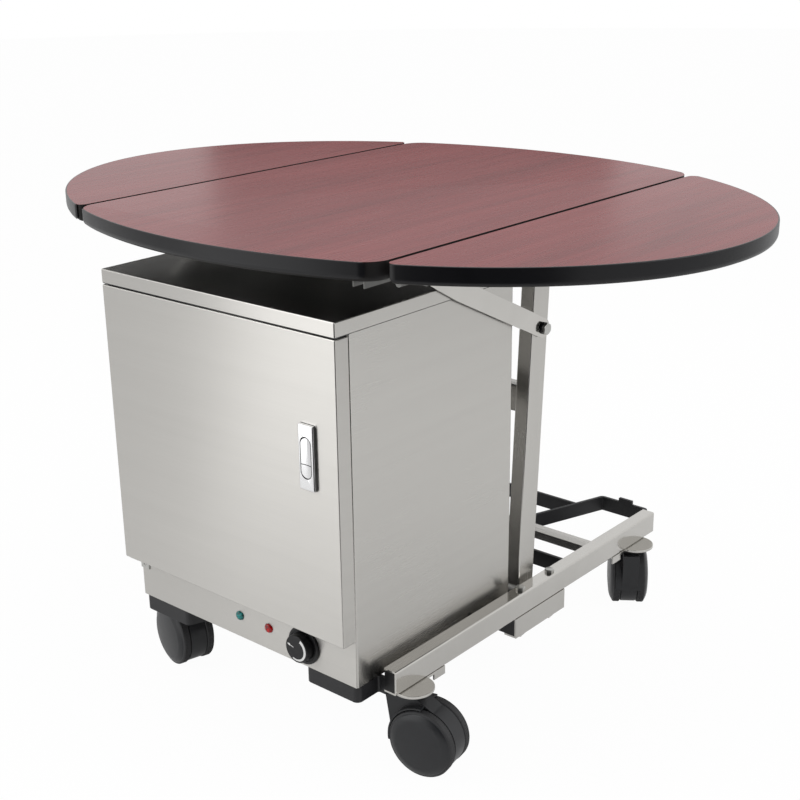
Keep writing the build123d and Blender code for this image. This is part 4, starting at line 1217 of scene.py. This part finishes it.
class TABLE_OT_inlet(bpy.types.Operator):
    """Power inlet with its blades"""
    bl_idname = "service_table.inlet"
    bl_label = "Power inlet"

    def execute(self, context):
        formed("power_inlet", 0.4 * MM, knob_resin())
        low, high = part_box("power_inlet")
        centre = (low + high) / 2
        half_width, half_height, pitch = 1.15 * MM, 2.65 * MM, 7 * MM
        blades = []
        for step in (-1, 0, 1):
            x = centre.x + step * pitch
            blade = block("inlet_blade", (x - half_width, high.y - 17 * MM, centre.z - half_height),
                          (x + half_width, high.y - 4.6 * MM, centre.z + half_height))
            blades.append(soften(blade, 0.5 * MM))
        fit(join(blades, "inlet_blades"), "base", inlet_brass())
        return {"FINISHED"}


class TABLE_OT_casters(bpy.types.Operator):
    """Twin-wheel casters with grooved tyres"""
    bl_idname = "service_table.casters"
    bl_label = "Casters"

    def execute(self, context):
        sizes = context.scene.table_sizes
        wheel = self.wheel(sizes)
        for corner in CORNERS:
            formed(f"caster_{corner}_hood", 1.1 * MM, caster_nylon(), 3)
            roll = JOINT[f"wheels_{corner}"]
            hub, axle = Vector(roll["pos_m"]), Vector(roll["axis"])
            drum = turned(f"caster_{corner}_drum", [
                (5.0, -13.2), (46.0, -13.2), (48.6, -12.6), (49.2, -11.4), (49.2, 11.4), (48.6, 12.6),
                (46.0, 13.2), (5.0, 13.2), (5.0, -13.2)], hub, axle, 72)
            fit(drum, f"caster_{corner}", caster_nylon(), angle=50)
            twins = [copied(wheel, Matrix.Translation(hub) @ along(way * axle)) for way in (1, -1)]
            pair = join(twins, f"caster_{corner}_wheel_pair")
            fit(pair, f"wheels_{corner}", caster_nylon(), (f"caster_{corner}_wheels",), angle=28)
        bpy.data.objects.remove(wheel)
        return {"FINISHED"}

    def wheel(self, sizes):
        """One wheel on a level axle: grooved tyre, bevelled rim, slightly domed face."""
        inner, shoulder = 14.1, 27.1
        wheel = turned("caster_wheel", [
            (0, inner - 13.9), (4.0, inner - 13.9), (4.0, inner), (47.4, inner), (49.6, inner + 0.6),
            (50.8, inner + 2.2),
            (50.8, shoulder - 2.2), (49.8, shoulder - 0.7), (48.4, shoulder), (47.2, shoulder + 0.2),
            (46.6, shoulder + 0.9), (45.0, shoulder + 1.9), (41.5, shoulder + 3.5), (38.2, shoulder + 4.6),
            (36.4, shoulder + 4.7), (33.0, shoulder + 5.3), (24.0, shoulder + 6.3), (12.0, shoulder + 6.9),
            (0, shoulder + 7.0)], (0, 0, 0), Z, sizes.tread_columns)
        tyre, tread = 48.0 * MM, 50.7 * MM
        two_tone(wheel, caster_nylon(), tyre_rubber(),
                 lambda f: all(math.hypot(v.co.x, v.co.y) > tyre for v in f.verts))
        step = 2 * math.pi / sizes.tread_columns

        def groove(f):
            middle = f.calc_center_median()
            column = int((math.atan2(middle.y, middle.x) % (2 * math.pi)) / step)
            return column % 2 == 0 and all(math.hypot(v.co.x, v.co.y) > tread for v in f.verts)

        edit(wheel)
        pick(wheel, "FACE", groove)
        bpy.ops.mesh.extrude_region_shrink_fatten(
            TRANSFORM_OT_shrink_fatten={"value": -sizes.tread_groove})
        done()
        return wheel


class TABLE_OT_fasteners(bpy.types.Operator):
    """Hexagon bolts with nuts, and screws of hinges, inlet and door pivot"""
    bl_idname = "service_table.fasteners"
    bl_label = "Fasteners"

    def execute(self, context):
        self.bolts()
        self.screws()
        return {"FINISHED"}

    def hexagon(self, name, height):
        """Head or nut, 13 mm across flats, with its corners turned off."""
        obj = fresh(name, bpy.ops.mesh.primitive_cylinder_add, vertices=6, radius=7.5 * MM,
                    depth=height * MM, location=(0, 0, height * MM / 2))
        settle(obj)
        turning = turned("turning", [(0, -0.5), (7.6, -0.5), (7.6, height - 1.0), (6.0, height),
                                     (0, height)], (0, 0, 0), Z, 48)
        return cut(obj, turning, "INTERSECT")

    def bolts(self):
        """Four upright bolts through rail and beam, two level ones through the posts."""
        head = self.hexagon("bolt_head", 5.3)
        nut = self.hexagon("bolt_nut", 6.5)
        ridges = []
        for k in range(8):
            ridges += [(4.0, k * 1.25), (3.45, k * 1.25 + 0.62)]
        tail = turned("bolt_tail", [(0, 0), *ridges, (3.3, 10.0), (2.6, 10.6), (0, 10.6)], (0, 0, 0), Z, 24)
        pieces = []
        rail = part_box("rail_right")[1].z
        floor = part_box("beam_brackets")[0].z
        strut = JOINT["strut_right"]["pos_m"]
        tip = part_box("strut_washers")[1].x
        bolt_x, bolt_rows = 248 * MM, (-13 * MM, 65 * MM)
        for side in (-1, 1):
            for row in bolt_rows:
                at = Vector((side * bolt_x, row, 0))
                pieces.append(copied(head, Matrix.Translation(at + Z * rail)))
                pieces.append(copied(nut, Matrix.Translation(at + Z * floor) @ along(-Z)))
                pieces.append(copied(tail, Matrix.Translation(at + Z * (floor - 0.4 * MM)) @ along(-Z)))
            outward = side * X
            at = Vector((side * tip, strut[1], strut[2]))
            wide = Matrix.Diagonal((1.25, 1.25, 1.0, 1.0))
            pieces.append(copied(head, Matrix.Translation(at) @ along(outward) @ wide))
            inner = Vector((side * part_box("post_right")[0].x, strut[1], strut[2]))
            pieces.append(copied(nut, Matrix.Translation(inner) @ along(-outward)))
            pieces.append(copied(tail, Matrix.Translation(inner + outward * 0.4 * MM) @ along(-outward)))
        for pattern in (head, nut, tail):
            bpy.data.objects.remove(pattern)
        bolts = join(pieces, "frame_bolts_cut")
        fit(bolts, "base", zinc_plate(), ("frame_bolts",))

    def screws(self):
        """Pan-head screws in the hinge plates, the inlet and the door's lower pivot."""
        sizes = bpy.context.scene.table_sizes
        radius = sizes.screw_head / MM
        screw = turned("screw", [(0, -0.3), (radius, -0.3), (radius, 0.25), (0.82 * radius, 0.85),
                                 (0.45 * radius, 1.2), (0, 1.3)], (0, 0, 0), Z, 20)
        for turn in (0, 90):
            half = Vector((0.62 * radius, 0.45, 0)) * MM
            slot = block("slot", 0.55 * MM * Z - half, 2 * MM * Z + half)
            slot.matrix_world = Matrix.Rotation(math.radians(turn), 4, "Z")
            cut(screw, settle(slot))
        rows = {"table": [], "leaf_left": [], "leaf_right": [], "base": []}
        reach = 33 * MM
        for node, body in (("leaf_left_hinges", "leaf_left"), ("leaf_right_hinges", "leaf_right")):
            low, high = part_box(node)
            side = -1 if body == "leaf_left" else 1
            seam = JOINT[body]["pos_m"][0]
            plate = high.z - 2 * MM
            for end in (low.y + 30 * MM, high.y - 30 * MM):
                for shift in (-20 * MM, 20 * MM):
                    rows[body].append((Vector((seam + side * reach, end + shift, plate)), -Z))
                    rows["table"].append((Vector((seam - side * reach, end + shift, plate)), -Z))
        low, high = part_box("tilt_hinge_leaves")
        for side in (-1, 1):
            for back in (10 * MM, 26 * MM):
                at = Vector((side * (high.x - 12.5 * MM), high.y - back, high.z - 2 * MM))
                rows["table"].append((at, -Z))
        inlet_low, inlet_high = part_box("power_inlet")
        middle = (inlet_low + inlet_high) / 2
        for side in (-1, 1):
            rows["base"].append((Vector((middle.x + side * 20 * MM, inlet_high.y, middle.z)), Y))
        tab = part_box("door_pivots")[0]
        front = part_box("plinth_panel")[0].y - 2 * MM
        rows["base"].append((Vector((tab.x + 9 * MM, front, tab.z + 8 * MM)), -Y))
        for body, places in rows.items():
            made = [copied(screw, Matrix.Translation(at) @ along(out)) for at, out in places]
            fit(join(made, f"{body}_screws"), body, zinc_plate())
        bpy.data.objects.remove(screw)


class TABLE_OT_welds(bpy.types.Operator):
    """Weld beads at the posts and the black bars"""
    bl_idname = "service_table.welds"
    bl_label = "Welds"

    def execute(self, context):
        steel, black = [], []
        for node, side in (("post_left", -1), ("post_right", 1)):
            low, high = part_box(node)
            rear = low.y + POST_DEPTH
            foot = low.z
            for y in (low.y, rear):
                steel.append(self.bead((low.x + 2 * MM, y, foot), (high.x - 2 * MM, y, foot)))
            inner = low.x if side > 0 else high.x
            steel.append(self.bead((inner, low.y + 2 * MM, foot), (inner, rear - 2 * MM, foot)))
            bar_low, bar_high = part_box("post_crossbar")
            for y in (bar_low.y, bar_high.y):
                steel.append(self.bead((inner, y, bar_low.z + 2 * MM), (inner, y, bar_high.z - 2 * MM)))
            for z in (bar_low.z, bar_high.z):
                steel.append(self.bead((inner, bar_low.y + 2 * MM, z), (inner, bar_high.y - 2 * MM, z)))
        fit(join(steel, "post_welds"), "base", weld_metal(), angle=60)
        low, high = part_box("tie_bars")
        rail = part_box("rail_right")[0].x
        bar_rows = (-97 * MM, 149 * MM)
        for y in bar_rows:
            for side in (-1, 1):
                for face in (-3 * MM, 3 * MM):
                    at = Vector((side * (rail - 0.6 * MM), y + face, 0))
                    black.append(self.bead(at + (low.z + 12 * MM) * Z, at + (high.z - 2 * MM) * Z))
        fit(join(black, "bar_welds"), "base", black_enamel(), angle=60)
        return {"FINISHED"}

    def bead(self, start, end):
        """Row of overlapping dabs."""
        sizes = bpy.context.scene.table_sizes
        start, end = Vector(start), Vector(end)
        seam = end - start
        pitch = 0.75 * sizes.bead
        dab = fresh("weld_bead", bpy.ops.mesh.primitive_uv_sphere_add, segments=10, ring_count=6,
                    radius=sizes.bead)
        dab.matrix_world = Matrix.Translation(start) @ along(seam) @ Matrix.Diagonal((1, 1, 0.62, 1))
        settle(dab)
        apply(dab, "ARRAY", count=max(2, int(seam.length / pitch)), use_relative_offset=False,
              use_constant_offset=True, constant_offset_displace=seam.normalized() * pitch)
        return dab


class TABLE_OT_stage(bpy.types.Operator):
    """Pale floor, soft light and the camera"""
    bl_idname = "service_table.stage"
    bl_label = "Stage"

    def execute(self, context):
        stage = context.scene.table_stage
        context.scene.view_settings.view_transform = "Standard"
        self.camera(stage)
        self.floor(stage)
        self.world(stage)
        self.lamp("key", (-1.7, -2.4, 2.6), (0.0, -0.1, 0.5), (1.8, 1.8), 24)
        self.lamp("side", (2.6, 0.6, 1.9), (0.1, 0.0, 0.4), (1.6, 1.6), 23)
        self.lamp("top", (0.2, 0.3, 3.0), (0.0, 0.0, 0.6), (2.2, 2.2), 28)
        self.lamp("front_box", (-0.40, -1.34, 0.56), (0.1, -0.39, 0.5), (0.85, 1.1), 2.8)
        self.flag("front_flag", (0.64, -0.80, 0.72), (-0.70, 0.71, 0.0), (0.8, 1.4))
        self.flag("rear_flag", (-1.90, 2.30, 0.65), (0.63, -0.777, 0.0), (1.5, 1.3))
        return {"FINISHED"}

    def flag(self, name, place, facing, size):
        """Dark card that shows only in reflections."""
        card = fresh(name, bpy.ops.mesh.primitive_grid_add, x_subdivisions=4, y_subdivisions=6, size=1.0)
        card.matrix_world = Matrix.Translation(place) @ along(facing) @ Matrix.Diagonal((*size, 1.0, 1.0))
        settle(card)
        card.data.materials.append(Finish(name).surface(
            Base_Color=(0.02, 0.02, 0.02), Roughness=1.0, Specular_IOR_Level=0.0))
        card.visible_camera = False
        card.visible_diffuse = False
        card.visible_shadow = False

    def camera(self, stage):
        """Camera at the photograph's place: right, up and back are its axes."""
        data = bpy.data.cameras.new("camera")
        data.lens = stage.focal
        data.sensor_width = 36.0
        data.clip_start = 0.05
        data.clip_end = 100.0
        eye = bpy.data.objects.new("camera", data)
        bpy.context.scene.collection.objects.link(eye)
        right = Vector((0.761983, 0.647473, -0.012654))
        up = Vector((-0.205347, 0.260104, 0.943493))
        back = right.cross(up)
        turn = Matrix((right, up, back)).transposed().to_4x4()
        eye.matrix_world = Matrix.Translation(Vector(stage.eye)) @ turn
        bpy.context.scene.camera = eye

    def floor(self, stage):
        """Level floor that stays white to the eye and keeps the shadow."""
        floor = fresh("floor", bpy.ops.mesh.primitive_circle_add, vertices=96, radius=14.0, fill_type="NGON")
        f = Finish("floor")
        f.surface(Base_Color=stage.floor_tone, Roughness=0.9, Specular_IOR_Level=0.1)
        glow = f.node("ShaderNodeEmission", inputs={"Color": (1, 1, 1), "Strength": 1.0})
        eye, gloss, clear = f.rays()
        share = eye * 0.97 + gloss * 0.35 + clear * 0.35
        f.show(f.node("ShaderNodeMixShader", inputs={0: share, 1: f.shader, 2: glow}))
        floor.data.materials.append(f.material)

    def world(self, stage):
        """Even light, white to the eye and in reflections."""
        world = bpy.data.worlds.new("studio")
        bpy.context.scene.world = world
        sky = Recipe(world, "ShaderNodeOutputWorld")
        eye, gloss, clear = sky.rays()
        fill, white = (sky.node("ShaderNodeBackground", inputs={"Color": (1, 1, 1), "Strength": strength})
                       for strength in (stage.fill, 1.0))
        direct = eye.math("MAXIMUM", eye, gloss)
        share = direct.math("MAXIMUM", direct, clear)
        sky.show(sky.node("ShaderNodeMixShader", inputs={0: share, 1: fill, 2: white}))

    def lamp(self, name, place, target, size, power):
        """Soft box aimed at a point."""
        data = bpy.data.lights.new(name, "AREA")
        data.shape = "RECTANGLE"
        data.size, data.size_y = size
        data.energy = power
        lamp = bpy.data.objects.new(name, data)
        bpy.context.scene.collection.objects.link(lamp)
        aim = Vector(target) - Vector(place)
        lamp.visible_camera = False
        lamp.matrix_world = Matrix.Translation(place) @ aim.to_track_quat("-Z", "Y").to_matrix().to_4x4()


STEPS = (TABLE_OT_boards, TABLE_OT_edging, TABLE_OT_folding_gear, TABLE_OT_posts, TABLE_OT_rails,
         TABLE_OT_bars, TABLE_OT_cabinet, TABLE_OT_cavity, TABLE_OT_door, TABLE_OT_latch,
         TABLE_OT_controls, TABLE_OT_inlet, TABLE_OT_casters, TABLE_OT_fasteners, TABLE_OT_welds,
         TABLE_OT_stage)


class TABLE_PT_build(bpy.types.Panel):
    """Pieces, sizes and finishes of the table"""
    bl_idname = "TABLE_PT_build"
    bl_label = "Room-service table"
    bl_space_type = "VIEW_3D"
    bl_region_type = "UI"
    bl_category = "Table"

    def draw(self, context):
        for step in STEPS:
            self.layout.operator(step.bl_idname)
        for group in (context.scene.table_sizes, context.scene.table_finishes, context.scene.table_stage):
            box = self.layout.box()
            for key in group.__annotations__:
                box.prop(group, key)


CLASSES = (TableSizes, TableFinishes, TableStage, *STEPS, TABLE_PT_build)


def register():
    for cls in CLASSES:
        bpy.utils.register_class(cls)
    bpy.types.Scene.table_sizes = PointerProperty(type=TableSizes)
    bpy.types.Scene.table_finishes = PointerProperty(type=TableFinishes)
    bpy.types.Scene.table_stage = PointerProperty(type=TableStage)


def unregister():
    del bpy.types.Scene.table_stage
    del bpy.types.Scene.table_finishes
    del bpy.types.Scene.table_sizes
    for cls in reversed(CLASSES):
        bpy.utils.unregister_class(cls)


def main():
    register()
    for step in STEPS:
        group, name = step.bl_idname.split(".")
        getattr(getattr(bpy.ops, group), name)()
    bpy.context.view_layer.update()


if __name__ == "__main__":
    main()
